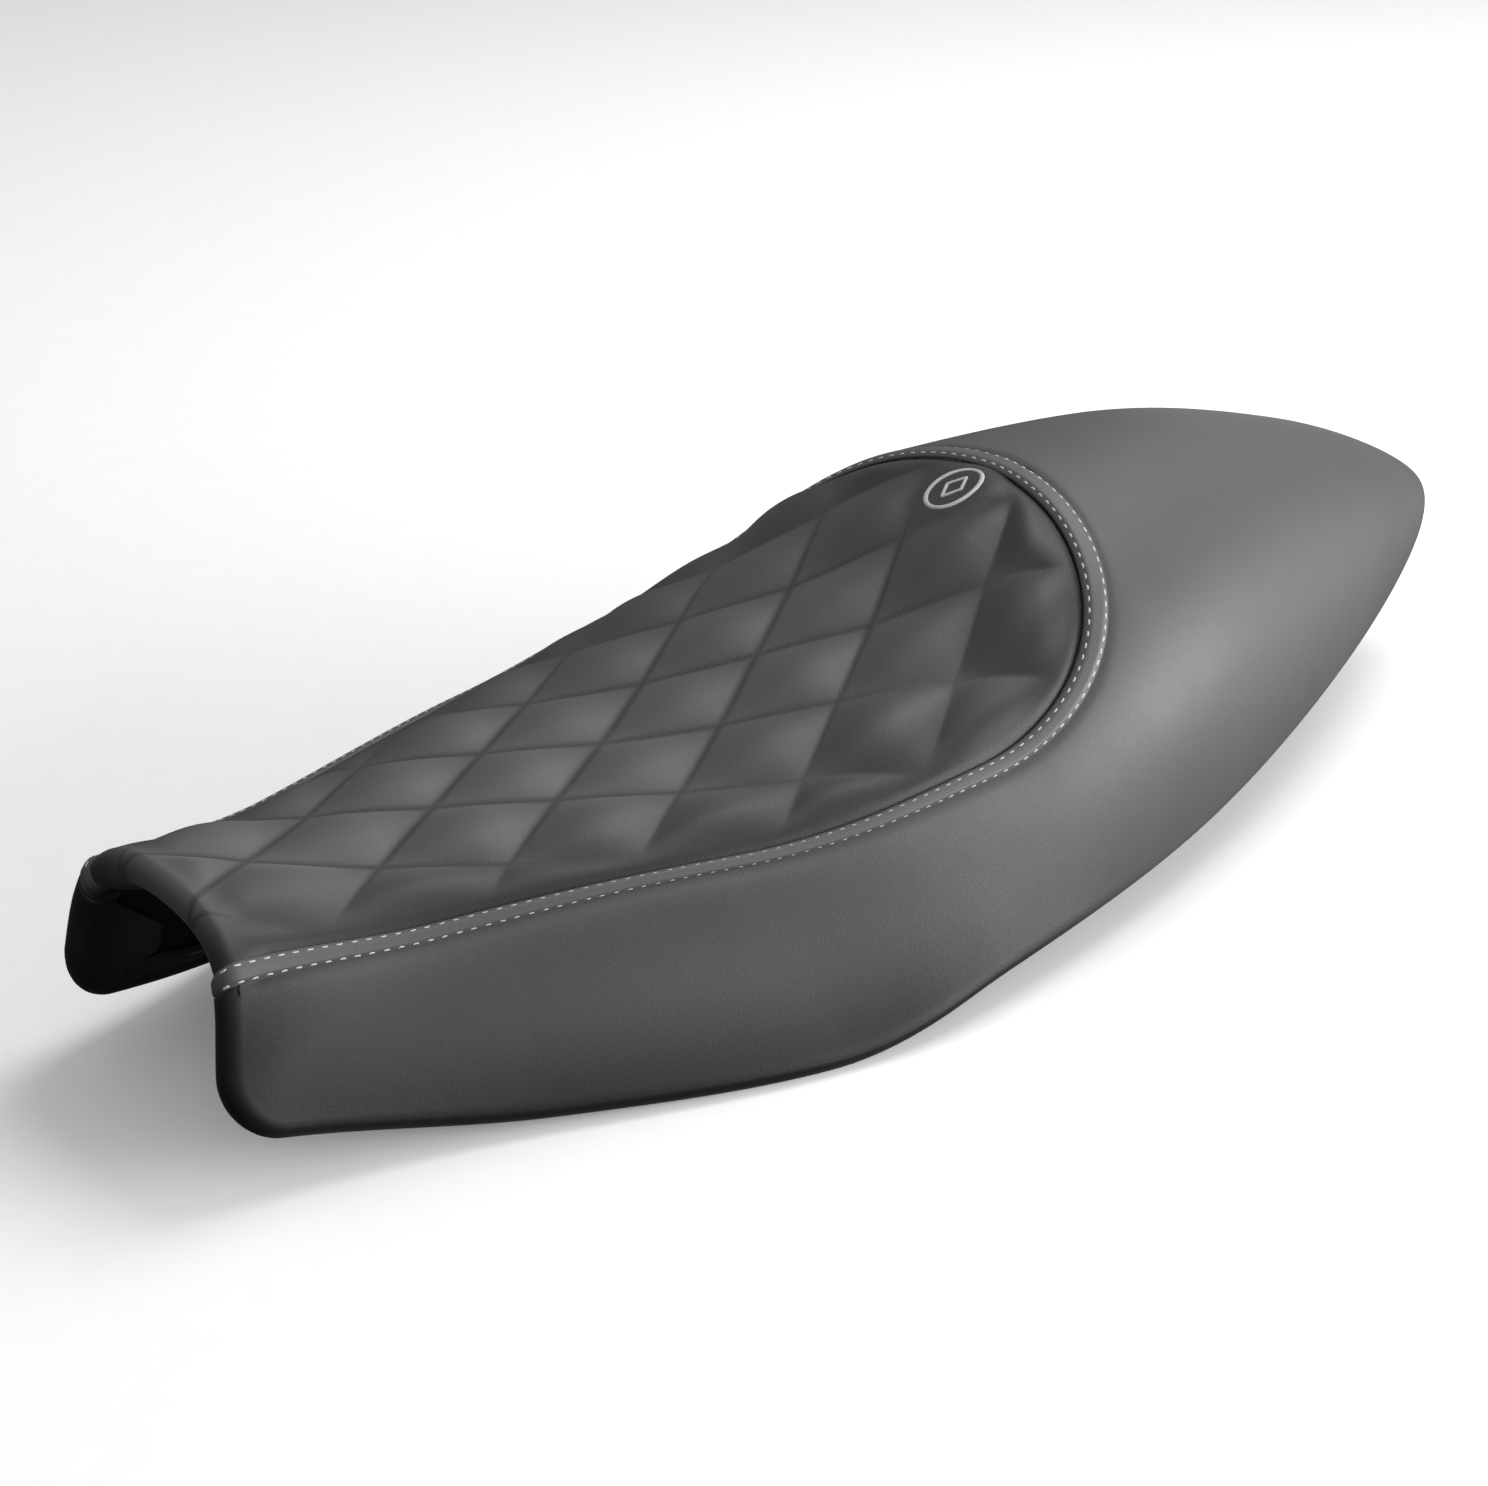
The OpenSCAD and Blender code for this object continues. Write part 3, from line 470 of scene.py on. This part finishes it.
# ---------------------------------------------------------------- side cover
def edge_rows(front, corner):
    """Rows up the front edge and round its corner: station, across-value and turn of the edge."""
    share = np.linspace(0, 1, front, endpoint=False)
    inner = seam(0, 1.0)[1] + 0.004
    s = [np.full(front, SHEET_START)]
    v = [inner + (1 - CORNER_SHARE - inner) * share]
    turn = [np.full(front, math.pi / 2)]
    a = np.linspace(math.pi / 2, 0, corner)
    s.append(CORNER_S - (CORNER_S - SHEET_START) * np.sin(a))
    v.append(1 - CORNER_SHARE * (1 - np.cos(a)))
    turn.append(a)
    return np.concatenate(s), np.concatenate(v), np.concatenate(turn)


def lower_edge():
    """The line along the bottom of the roll, round the front corners and up the front edge."""
    s, v, turn = edge_rows(120, 60)
    s = np.concatenate([s, np.linspace(CORNER_S, 1, 1200)[1:]])
    v = np.concatenate([v, np.ones(1199)])
    turn = np.concatenate([turn, np.zeros(1199)])
    line = rolled(s, v, turn, math.pi * 0.4, ROLL)
    return np.concatenate([line, line * np.array([-1, 1, 1])])


TUCK, TUCK_REACH = 1.1, 2.6
TUCK_LEAST, TUCK_FADE = 0.35, 10
WAVE, WAVE_LONG, WAVE_FADE = 0.35, 150.0, 30
CLOSE_ROWS = (0.8, 1.6, 2.4, 3.2, 4.2, 5.4, 7.0, 9.5)


def side_cover():
    """Smooth cover from the band's outer edge, round the lower roll and up inside as a hem."""
    front_s, front_v, front_turn = edge_rows(16, 18)
    bend = len(front_s)
    corner_u = (CORNER_S - SHEET_START) / (APEX + BAND / LENGTH - SHEET_START)
    after = np.sin(np.linspace(0, 1, 111)[1:] * math.pi / 2)
    u = np.concatenate([np.linspace(0, corner_u, bend), corner_u + (1 - corner_u) * after])
    a_s, a_v = seam(u, 1.0)
    close = a_s[-1] + np.array(CLOSE_ROWS) / LENGTH
    back = close[-1] + (1 - close[-1]) * np.sin(np.linspace(0, 1, 71)[1:] * math.pi / 2)
    back = np.concatenate([close, back])
    a_s = np.concatenate([a_s, back])
    a_v = np.concatenate([a_v, 0 * back])
    e_s = np.concatenate([front_s, a_s[bend:]])
    e_v = np.concatenate([front_v, np.ones(len(a_s) - bend)])
    turn = np.concatenate([front_turn, np.zeros(len(a_s) - bend)])
    w = np.linspace(0, 1, 44) ** 1.25
    s = a_s[:, None] + (e_s - a_s)[:, None] * w
    v = a_v[:, None] + (e_v - a_v)[:, None] * w
    sheet = form(s, v)
    away = distance_to(seam_line(1.0), sheet)
    tuck = TUCK * np.exp(-(away / TUCK_REACH) ** 2)
    behind = smoothstep((s - SHEET_START) * LENGTH / TUCK_FADE)
    tuck = tuck * (TUCK_LEAST + (1 - TUCK_LEAST) * behind)
    sheet = sheet - normal(s, v) * tuck[..., None]
    soft = noise3(sheet, WAVE_LONG, 3) * WAVE * smoothstep(away / WAVE_FADE)
    sheet = sheet + normal(s, v) * soft[..., None] * (1 - smoothstep((s - 0.9) / 0.09))[..., None]
    roll = np.stack([rolled(e_s, e_v, turn, a, ROLL) for a in np.linspace(0, math.pi, 15)[1:]], 1)
    fade = np.clip((np.arange(len(a_s)) + 1) / 10, 0, 1)
    hem = []
    for t in np.linspace(0, 1, 6)[1:]:
        hs = e_s + t * fade * HEM * 0.35 * np.sin(turn)
        hv = e_v - t * fade * HEM * np.cos(turn)
        hem.append(form(hs, hv, *hem_level(hs)))
    return two_wings("side_cover_vinyl", np.concatenate([sheet, roll, np.stack(hem, 1)], 1),
                     side_vinyl)


cover = side_cover()
thicken(cover, 1.3)
# Painted shade: the side cover darkens within about 30 mm of its lower and front edges, fading out
# behind y = -70 mm.
shade(cover, lower_edge(), 30.0, 2.0, -70.0)
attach(cover, "root")
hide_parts("side_cover")


# ---------------------------------------------------------------- quilted panel
QUILT_PER = 1 / math.hypot(1 / QUILT_X, 1 / QUILT_Y)
PUFF, CREASE_ROUND, PUFF_FLAT = 4.3, 1.2, 0.75
SINK = 0.9
RIM_SINK, RIM_REACH, RIM_START, RIM_FADE = 1.5, 3.4, 3, 17
FRONT_FADE = 16
CALM_X, CALM_Y, CALM_HEIGHT = 17, 22, 1.2
CREASE_SHADE, CREASE_REACH, CREASE_MORE = 0.62, 1.9, 0.25
HEAD_SHADE, HEAD_FROM, HEAD_OVER = 0.42, -60, 120
SIM_STEP, SIM_FRAMES, SIM_PRESSURE, SIM_GROWTH = 3, 20, 1500.0, 0.014
SIM_LEAST, SIM_MOST, SIM_SHARE, SIM_SMOOTHING = -0.5, 2.4, 0.7, 4
SIM_SEWN, SIM_RIM = 2.4, 7


def line_gaps(x, y):
    """Distances, mm, from the nearest quilting line of either direction."""
    a = (y - QUILT_0) / QUILT_Y + x / QUILT_X
    b = (y - QUILT_0) / QUILT_Y - x / QUILT_X
    return [np.abs(c - np.round(c)) * QUILT_PER for c in (a, b)]


def quilt_height(x, y):
    """Puffed diamonds: 0 on the sewn lines, 1 at the middle of a diamond."""
    out = 1.0
    for d in line_gaps(x, y):
        d = (np.sqrt(d * d + CREASE_ROUND**2) - CREASE_ROUND) / (QUILT_PER / 2 - CREASE_ROUND)
        out = out * np.sin(np.clip(d, 0, 1) * math.pi / 2) ** PUFF_FLAT
    return out


def seam_gap(x, y):
    """Distance, mm, from the nearest quilting line."""
    return np.minimum(*line_gaps(x, y))


def emblem_calm(x, y):
    """1 under the emblem, where the quilting lies flat, 0 away from it."""
    middle = form(EMBLEM_S, 0.0)
    return np.exp(-(((x - middle[0]) / CALM_X) ** 2 + ((y - middle[1]) / CALM_Y) ** 2) ** 2)


def panel_least(x, y):
    """Shade in the sewn creases and over the head of the panel."""
    crease = CREASE_SHADE * np.exp(-(seam_gap(x, y) / CREASE_REACH) ** 2) * (1 - emblem_calm(x, y))
    head = HEAD_SHADE * smoothstep((y - HEAD_FROM) / HEAD_OVER)
    return np.maximum(crease, head) + CREASE_MORE * crease


def inflate(p, n, away):
    """Cloth run: the cover, held along every quilting line and round its rim, is blown up.

    Returns how far each point of the full grid is lifted, mm, smoothed and scaled down.
    """
    k = SIM_STEP
    q, qn, rim = p[::k, ::k], n[::k, ::k], away[::k, ::k]
    obj = grid("cloth_run", q, panel_vinyl, flip=True)
    held = (seam_gap(q[..., 0], q[..., 1]) < SIM_SEWN) | (rim < SIM_RIM)
    held[:, 0] = held[:, -1] = held[0] = held[-1] = True
    group = obj.vertex_groups.new(name="sewn")
    group.add(np.flatnonzero(held.ravel()).tolist(), 1.0, "REPLACE")
    mod = obj.modifiers.new("cloth", "CLOTH")
    cloth = mod.settings
    cloth.quality = 6
    cloth.mass = 0.1
    cloth.shrink_min = -SIM_GROWTH
    cloth.tension_stiffness = cloth.compression_stiffness = 8
    cloth.shear_stiffness = 4
    cloth.bending_stiffness = 2.5
    cloth.use_pressure = True
    cloth.uniform_pressure_force = SIM_PRESSURE
    cloth.vertex_group_mass = "sewn"
    cloth.effector_weights.gravity = 0
    mod.point_cache.frame_start, mod.point_cache.frame_end = 1, SIM_FRAMES
    for f in range(1, SIM_FRAMES + 1):
        bpy.context.scene.frame_set(f)
    dep = bpy.context.evaluated_depsgraph_get()
    mesh = obj.evaluated_get(dep).to_mesh()
    out = np.empty(len(mesh.vertices) * 3)
    mesh.vertices.foreach_get("co", out)
    moved = (out.reshape(q.shape) / MM - q)
    lift = (moved * qn).sum(-1)
    bpy.context.scene.frame_set(1)
    bpy.data.objects.remove(obj)
    lift = np.clip(lift, SIM_LEAST, SIM_MOST) * SIM_SHARE
    for _ in range(SIM_SMOOTHING):
        lift[1:-1] = lift[:-2] / 4 + lift[1:-1] / 2 + lift[2:] / 4
        lift[:, 1:-1] = lift[:, :-2] / 4 + lift[:, 1:-1] / 2 + lift[:, 2:] / 4
    rows = np.clip(np.arange(p.shape[0]) / k, 0, lift.shape[0] - 1)
    cols = np.clip(np.arange(p.shape[1]) / k, 0, lift.shape[1] - 1)
    fine = np.array([np.interp(rows, np.arange(lift.shape[0]), c) for c in lift.T]).T
    return np.array([np.interp(cols, np.arange(lift.shape[1]), r) for r in fine])


def panel_grid():
    """The panel's points: hem and roll at the front edge, then the quilted face."""
    u = np.concatenate([np.linspace(0, 0.9, 230)[:-1],
                        0.9 + 0.0999 * np.sin(np.linspace(0, 1, 70) * math.pi / 2)])
    s0, reach = seam(u, 0.0)
    reach = np.maximum(reach, 0.004)
    w = np.linspace(-1, 1, 181)
    s, v = s0[:, None] + 0 * w, reach[:, None] * w
    p = form(s, v)
    n = normal(s, v)
    away = distance_to(seam_line(0.0), p)
    fade = smoothstep((away - RIM_START) / RIM_FADE)
    h = PUFF * quilt_height(p[..., 0], p[..., 1]) * fade
    h = h - SINK * fade - RIM_SINK * np.exp(-(away / RIM_REACH) ** 2)
    calm = emblem_calm(p[..., 0], p[..., 1])
    h = h + (CALM_HEIGHT - h) * calm
    h = h + inflate(p + n * h[..., None], n, away) * (1 - calm)
    h = h * smoothstep((s - SHEET_START) * LENGTH / FRONT_FADE)
    p = p + n * h[..., None]
    inside = [s[0] + FRONT_HEM / LENGTH * t for t in np.linspace(1, 0, 5)[:-1]]
    front = [form(hs, v[0], *hem_level(hs)) for hs in inside]
    roll = [rolled(s[0], v[0], math.pi / 2, a, ROLL) for a in np.linspace(math.pi, 0, 15)[:-1]]
    return np.concatenate([np.stack(front), np.stack(roll), p])


panel = grid("quilted_vinyl_panel", panel_grid(), panel_vinyl, flip=True)
thicken(panel, 1.2)
# Painted shade: the panel darkens near the seam, more widely towards its head, in the sewn creases
# and over the head of the panel.
shade(panel, seam_line(0.0), 24.0, 1.5, rear_reach=58.0, least=panel_least)
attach(panel, "root")
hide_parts("quilted_panel")


# ---------------------------------------------------------------- band
def band_lines(u, out):
    """Both sides of a line along the band, from one front end round the apex to the other."""
    s, v = seam(u, out)
    s = np.concatenate([s, s[::-1][1:]])
    v = np.concatenate([v, -v[::-1][1:]])
    return s, v


STITCH_LINES = (0.14, 0.86)
BAND_SUNK, BAND_CROWN, GROOVE, GROOVE_WIDE = 1.0, 0.25, 0.38, 0.9
FLAT_POWER = 5
END_SHARE = 0.8


def band():
    """The band: sunk along both edges, with a groove under each stitch row, rolled at its ends."""
    u = np.concatenate([np.linspace(0, 0.9, 190)[:-1],
                        0.9 + 0.1 * np.sin(np.linspace(0, 1, 90) * math.pi / 2)])
    w = np.linspace(0, 1, 27)
    cols = []
    for t in w:
        s, v = band_lines(u, t)
        bulge = 1 - abs(2 * t - 1) ** FLAT_POWER
        groove = sum(math.exp(-((t - c) * BAND / GROOVE_WIDE) ** 2) for c in STITCH_LINES)
        rise = (BAND_SUNK + PROUD + BAND_CROWN) * bulge - BAND_SUNK - GROOVE * groove
        p = form(s, v) + normal(s, v) * rise
        ends = []
        for side in (1, -1):
            s0, v0 = seam(0.0, t)
            r = ROLL + rise * END_SHARE
            bend = np.linspace(math.pi, 0, 13)[:-1]
            roll = [rolled(s0, side * v0, math.pi / 2, a, r) for a in bend]
            inside = [s0 + BAND_HEM / LENGTH * k for k in np.linspace(1, 0, 4)[:-1]]
            hem = [form(hs, side * v0, *hem_level(hs)) for hs in inside]
            ends.append(np.array(hem + roll))
        cols.append(np.concatenate([ends[0], p, ends[1][::-1]]))
    return np.stack(cols, 1)


strip = grid("trim_band_vinyl", band(), band_vinyl)
thicken(strip, 1.0)
front_hem_line = form(SHEET_START, np.linspace(-0.6, 0.6, 200), *hem_level(SHEET_START))
# Painted shade: the band's front ends darken within about 7.5 mm of the tucked-in front hem, inside
# the front arch.
shade(strip, front_hem_line, 7.5, 4.0)
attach(strip, "root")
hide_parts("trim_band")


# ---------------------------------------------------------------- stitches
STITCH_PITCH, STITCH_LONG, STITCH_R = 5.6, 4.0, 0.55
STITCH_LIFT, STITCH_CROWN, STITCH_DIVE, STITCH_SKEW = 0.18, 0.28, 0.55, 0.12
STITCH_ROLL = 0.36 * math.pi


def stitch_line(out):
    """The line a row of stitches follows, and its outward direction, over both front edges."""
    u = np.concatenate([np.linspace(0, 0.9, 700)[:-1],
                        0.9 + 0.1 * np.sin(np.linspace(0, 1, 400) * math.pi / 2)])
    s, v = band_lines(u, out)
    n = normal(s, v)
    lift = PROUD + STITCH_LIFT
    line = form(s, v) + n * lift
    s0, v0 = seam(0.0, out)
    for side, first in ((1, True), (-1, False)):
        a = np.linspace(0, STITCH_ROLL, 12)[1:]
        bend = rolled(s0, side * v0, math.pi / 2, a, ROLL + lift)
        lean = n[0] * np.array([side, 1, 1]) * np.cos(a)[:, None]
        lean = lean + np.array([0, -1, 0]) * np.sin(a)[:, None]
        if first:
            line = np.concatenate([bend[::-1], line])
            n = np.concatenate([lean[::-1], n])
        else:
            line = np.concatenate([line, bend])
            n = np.concatenate([n, lean])
    return line, n


def stitches(name, out):
    """A row of separate stitches whose ends dive into the band."""
    line, n = stitch_line(out)
    run = np.concatenate([[0], np.cumsum(np.linalg.norm(np.diff(line, axis=0), axis=1))])
    count = int(run[-1] / STITCH_PITCH)
    points, faces = [], []
    ring = np.linspace(0, 2 * math.pi, 9)[:-1]
    steps = np.linspace(-1, 1, 9)
    rng = np.random.RandomState(int(out * 100))
    for k in range(count):
        mid = (k + 0.5) * run[-1] / count
        skew = rng.uniform(-STITCH_SKEW, STITCH_SKEW)
        start = len(points)
        for t in steps:
            at = mid + t * STITCH_LONG / 2
            c = np.array([np.interp(at, run, line[:, j]) for j in range(3)])
            nn = np.array([np.interp(at, run, n[:, j]) for j in range(3)])
            nn /= np.linalg.norm(nn)
            ahead = np.array([np.interp(at + 0.5, run, line[:, j]) for j in range(3)])
            along = (ahead - c) / np.linalg.norm(ahead - c)
            across = np.cross(along, nn)
            dive = STITCH_CROWN * (1 - t * t) - STITCH_DIVE * abs(t) ** 5
            c = c + nn * dive + across * skew * t
            r = STITCH_R * max(1 - abs(t) ** 6, 0.25)
            for a in ring:
                points.append(c + across * math.cos(a) * r + nn * math.sin(a) * r * 0.75)
        for i in range(len(steps) - 1):
            for j in range(8):
                a0 = start + i * 8 + j
                b0 = start + i * 8 + (j + 1) % 8
                faces.append((a0, b0, b0 + 8, a0 + 8))
        faces.append(tuple(start + j for j in range(7, -1, -1)))
        faces.append(tuple(start + (len(steps) - 1) * 8 + j for j in range(8)))
    return build(name, points, faces, thread)


for stitch_name, node_name, where in zip(("inner_stitch_row", "outer_stitch_row"),
                                         ("inner_stitching", "outer_stitching"), STITCH_LINES):
    row = stitches(stitch_name, where)
    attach(row, "root")
    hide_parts(node_name)


# ---------------------------------------------------------------- emblem: an oval ring and a lozenge
PANEL_TREE = BVHTree.FromObject(panel, bpy.context.evaluated_depsgraph_get())
SLOPE = 1.12
RAY_START = 12
RING_WIDE, LOZENGE_WIDE, CORD_HIGH, CORD_SINK = 2.3, 1.7, 0.75, 0.15
LOZENGE = ((4.2, 0), (0, 8.0), (-4.2, 0), (0, -8.0))


def on_panel(x, y, lift):
    """Point on the panel at x, y mm from the emblem's centre, lifted along the surface normal."""
    s = EMBLEM_S + np.asarray(y, float) / LENGTH / SLOPE
    slope = (form(EMBLEM_S, 0.02) - form(EMBLEM_S, 0.0))[0] / 0.02
    v = np.asarray(x, float) / slope
    start = form(s, v) + normal(s, v) * RAY_START
    down = -normal(s, v)
    out = []
    for p, d, k in zip(start, down, lift):
        hit = PANEL_TREE.ray_cast(Vector(p) * MM, Vector(d))[0]
        out.append(np.array(hit) / MM - d * k)
    return np.array(out)


def cord_loop(points2d, width, height, segments):
    """A closed satin-stitched line: a flat-bottomed rounded ridge that follows points2d."""
    p = np.asarray(points2d)
    ahead = np.roll(p, -1, 0) - np.roll(p, 1, 0)
    ahead /= np.linalg.norm(ahead, axis=1, keepdims=True)
    side = np.stack([-ahead[:, 1], ahead[:, 0]], -1)
    verts = []
    for a in np.linspace(0, math.pi, segments):
        q = p + side * (math.cos(a) * width / 2)
        lift = math.sin(a) * height - CORD_SINK
        verts.append(on_panel(q[:, 0], q[:, 1], lift + 0 * q[:, 0]))
    return np.stack(verts, 1)


def emblem():
    t = np.linspace(0, 2 * math.pi, 361)[:-1]
    ring = np.stack([EMBLEM_WIDE * np.cos(t), EMBLEM_LONG * np.sin(t)], -1)
    k = np.linspace(0, 4, 161)[:-1]
    corners = np.array(LOZENGE)
    i = k.astype(int)
    f = (k - i)[:, None]
    lozenge = corners[i % 4] * (1 - f) + corners[(i + 1) % 4] * f
    points, faces = [], []
    for line, width in ((ring, RING_WIDE), (lozenge, LOZENGE_WIDE)):
        g = cord_loop(line, width, CORD_HIGH, 9)
        g = np.concatenate([g, g[:1]])
        faces += quads(g.shape[0], g.shape[1], len(points), True)
        points += g.reshape(-1, 3).tolist()
    obj = build("embroidered_emblem", points, faces, emblem_thread)
    weld(obj)
    return obj


badge = emblem()
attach(badge, "root")
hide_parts("emblem")


# ---------------------------------------------------------------- shell and padding under the cover
def shell_wing(levels, reach, start=SHEET_START, rows=150, cols=48):
    """Half of a layer that runs from the crown to the lower edge, back to the tail's tip."""
    s = np.concatenate([start + (CORNER_S - start) * np.linspace(0, 1, 16)[:-1],
                        CORNER_S + (1 - CORNER_S) * np.sin(np.linspace(0, 1, rows) * math.pi / 2)])
    if start > CORNER_S:
        s = start + (1 - start) * np.sin(np.linspace(0, 1, rows) * math.pi / 2)
    c = np.clip((CORNER_S - s) / (CORNER_S - SHEET_START), 0, 1)
    edge = reach * (1 - CORNER_SHARE * (1 - np.sqrt(np.maximum(1 - c * c, 0))))
    v = edge[:, None] * np.linspace(0, 1, cols)
    ss = s[:, None] + 0 * v
    return form(ss, v, *levels(ss))


def closed_layer(name, outer, inner, material):
    """A closed layer: outer skin, inner skin and the walls between, mirrored."""
    rows, cols = outer.shape[:2]
    loop = np.concatenate([outer, inner[:, ::-1]], 1)
    obj = two_wings(name, loop, material)
    bm = bmesh.new()
    bm.from_mesh(obj.data)
    bmesh.ops.holes_fill(bm, edges=[e for e in bm.edges if e.is_boundary], sides=0)
    bmesh.ops.recalc_face_normals(bm, faces=bm.faces)
    bm.to_mesh(obj.data)
    bm.free()
    return obj


SHELL_REACH, FOAM_REACH, TOPPER_REACH = 0.99, 0.985, 0.8
pan = closed_layer("moulded_shell",
                   shell_wing(lambda s: (PAN_DEPTH + 0 * s, pad(s)), SHELL_REACH),
                   shell_wing(lambda s: (PAN_DEPTH + PAN_WALL + 0 * s, pad(s) + PAN_WALL),
                              SHELL_REACH), shell_plastic)
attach(pan, "root")
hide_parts("base_pan")


def foam_patch(s0, s1, reach, inset, rows=90, cols=60):
    """Half of a layer between two stations."""
    s = np.linspace(s0, s1, rows)
    c = np.clip((CORNER_S - s) / (CORNER_S - SHEET_START), 0, 1)
    edge = reach - CORNER_SHARE * (1 - np.sqrt(1 - c * c))
    v = edge[:, None] * np.linspace(0, 1, cols)
    ss = s[:, None] + 0 * v
    return form(ss, v, *inset(ss))


def topper_under(s):
    """Depth of the topper's underside. It thins out where the padding does."""
    return FOAM_DEPTH + np.minimum(TOPPER_T, (pad(s) - FOAM_DEPTH - GAP) * TOPPER_SHARE)


def cushion(name, outer, inner, material, node_name):
    obj = closed_layer(name, outer, inner, material)
    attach(obj, "root")
    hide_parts(node_name)


FOAM_START = SHEET_START + GAP / LENGTH
TAIL_START = FOAM_END + 2 * GAP / LENGTH
cushion("soft_topper",
        foam_patch(FOAM_START, FOAM_END, TOPPER_REACH,
                   lambda s: (FOAM_DEPTH + 0 * s, FOAM_DEPTH)),
        foam_patch(FOAM_START, FOAM_END, TOPPER_REACH,
                   lambda s: (FOAM_DEPTH + 0 * s, topper_under(s))),
        wadding_mat, "foam_topper")
cushion("moulded_cushion",
        foam_patch(FOAM_START, FOAM_END, FOAM_REACH,
                   lambda s: (FOAM_DEPTH + 0 * s, topper_under(s) + GAP)),
        foam_patch(FOAM_START, FOAM_END, FOAM_REACH,
                   lambda s: (PAN_DEPTH - GAP + 0 * s, pad(s) - GAP)),
        foam_mat, "rider_foam")
cushion("tail_pad",
        shell_wing(lambda s: (FOAM_DEPTH + 0 * s, FOAM_DEPTH), FOAM_REACH, TAIL_START, 90, 40),
        shell_wing(lambda s: (PAN_DEPTH - GAP + 0 * s, pad(s) - GAP), FOAM_REACH, TAIL_START,
                   90, 40),
        foam_mat, "tail_foam")

# ---------------------------------------------------------------- floor, light, camera
# focal length and frame width in the same unit, angles in degrees, place in mm
CAMERA = dict(focal=2753.1, frame=1488, azimuth=50.065, elevation=26.408, roll=0.467,
              place=(792.5, -746.3, 580.8))
SENSOR = 36.0


def floor_white():
    """Pale studio floor: diffuse, with a little light of its own, so shadows stay light."""
    n = Nodes("floor_white", (0.8, 0.8, 0.8), 0.8)
    n.set("Specular IOR Level", 0.1)
    n.set("Emission Color", (1, 1, 1, 1))
    n.set("Emission Strength", 0.1)
    speckle = n.noise(60.0, 3)
    n.link(n.tint((0.8, 0.8, 0.8), speckle, 0.01), n.bsdf.inputs["Base Color"])
    return n.mat


def stage_floor():
    """The floor, just under the part. It throws no light back on the seat."""
    half, low = 6000.0, -0.3
    corners = [(-half, -half, low), (half, -half, low), (half, half, low), (-half, half, low)]
    obj = build("floor", corners, [(0, 1, 2, 3)], floor_white())
    obj.visible_diffuse = False
    obj.visible_glossy = False
    return obj


floor = stage_floor()


def softbox(name, size, place, target, power):
    data = bpy.data.lights.new(name, "AREA")
    data.shape = "RECTANGLE"
    data.size, data.size_y = size
    data.energy = power
    obj = bpy.data.objects.new(name, data)
    obj.location = place
    obj.rotation_euler = (Vector(target) - Vector(place)).to_track_quat("-Z", "Y").to_euler()
    bpy.context.scene.collection.objects.link(obj)
    return obj


def studio_world():
    """Soft light from above that fades out below the horizon."""
    world = bpy.data.worlds.new("studio")
    world.use_nodes = True
    tree = world.node_tree
    back = tree.nodes["Background"]
    back.inputs["Color"].default_value = (1, 1, 1, 1)
    coord = tree.nodes.new("ShaderNodeTexCoord")
    split = tree.nodes.new("ShaderNodeSeparateXYZ")
    fade = tree.nodes.new("ShaderNodeMapRange")
    fade.interpolation_type = "SMOOTHSTEP"
    tree.links.new(coord.outputs["Generated"], split.inputs["Vector"])
    tree.links.new(split.outputs["Z"], fade.inputs["Value"])
    for key, value in (("From Min", -0.25), ("From Max", 0.6), ("To Min", 0.02), ("To Max", 0.47)):
        fade.inputs[key].default_value = value
    tree.links.new(fade.outputs["Result"], back.inputs["Strength"])
    return world


softbox("top_box", (1.3, 1.3), (-0.15, 1.1, 1.9), (0, 0.0, 0.1), 30)
softbox("side_box", (2.2, 1.1), (2.0, 1.9, 0.6), (0.05, 0.28, 0.08), 122)
softbox("low_box", (1.4, 0.3), (1.1, 1.0, 0.2), (0.05, 0.25, 0.08), 9)
softbox("front_box", (1.4, 0.9), (1.6, -1.5, 1.1), (0.0, -0.1, 0.06), 7)
scene = bpy.context.scene
scene.world = studio_world()
scene.view_settings.view_transform = "Standard"


def place_camera():
    a, e, r = (math.radians(CAMERA[k]) for k in ("azimuth", "elevation", "roll"))
    right = Vector((math.cos(a), math.sin(a), 0))
    ahead = Vector((-math.sin(a) * math.cos(e), math.cos(a) * math.cos(e), -math.sin(e)))
    up = right.cross(ahead)
    x = right * math.cos(r) + up * math.sin(r)
    y = up * math.cos(r) - right * math.sin(r)
    m = Matrix((x, y, -ahead)).transposed().to_4x4()
    m.translation = Vector(CAMERA["place"]) * MM
    data = bpy.data.cameras.new("camera")
    data.sensor_width = SENSOR
    data.lens = CAMERA["focal"] / CAMERA["frame"] * SENSOR
    obj = bpy.data.objects.new("camera", data)
    obj.matrix_world = m
    scene.collection.objects.link(obj)
    scene.camera = obj


place_camera()
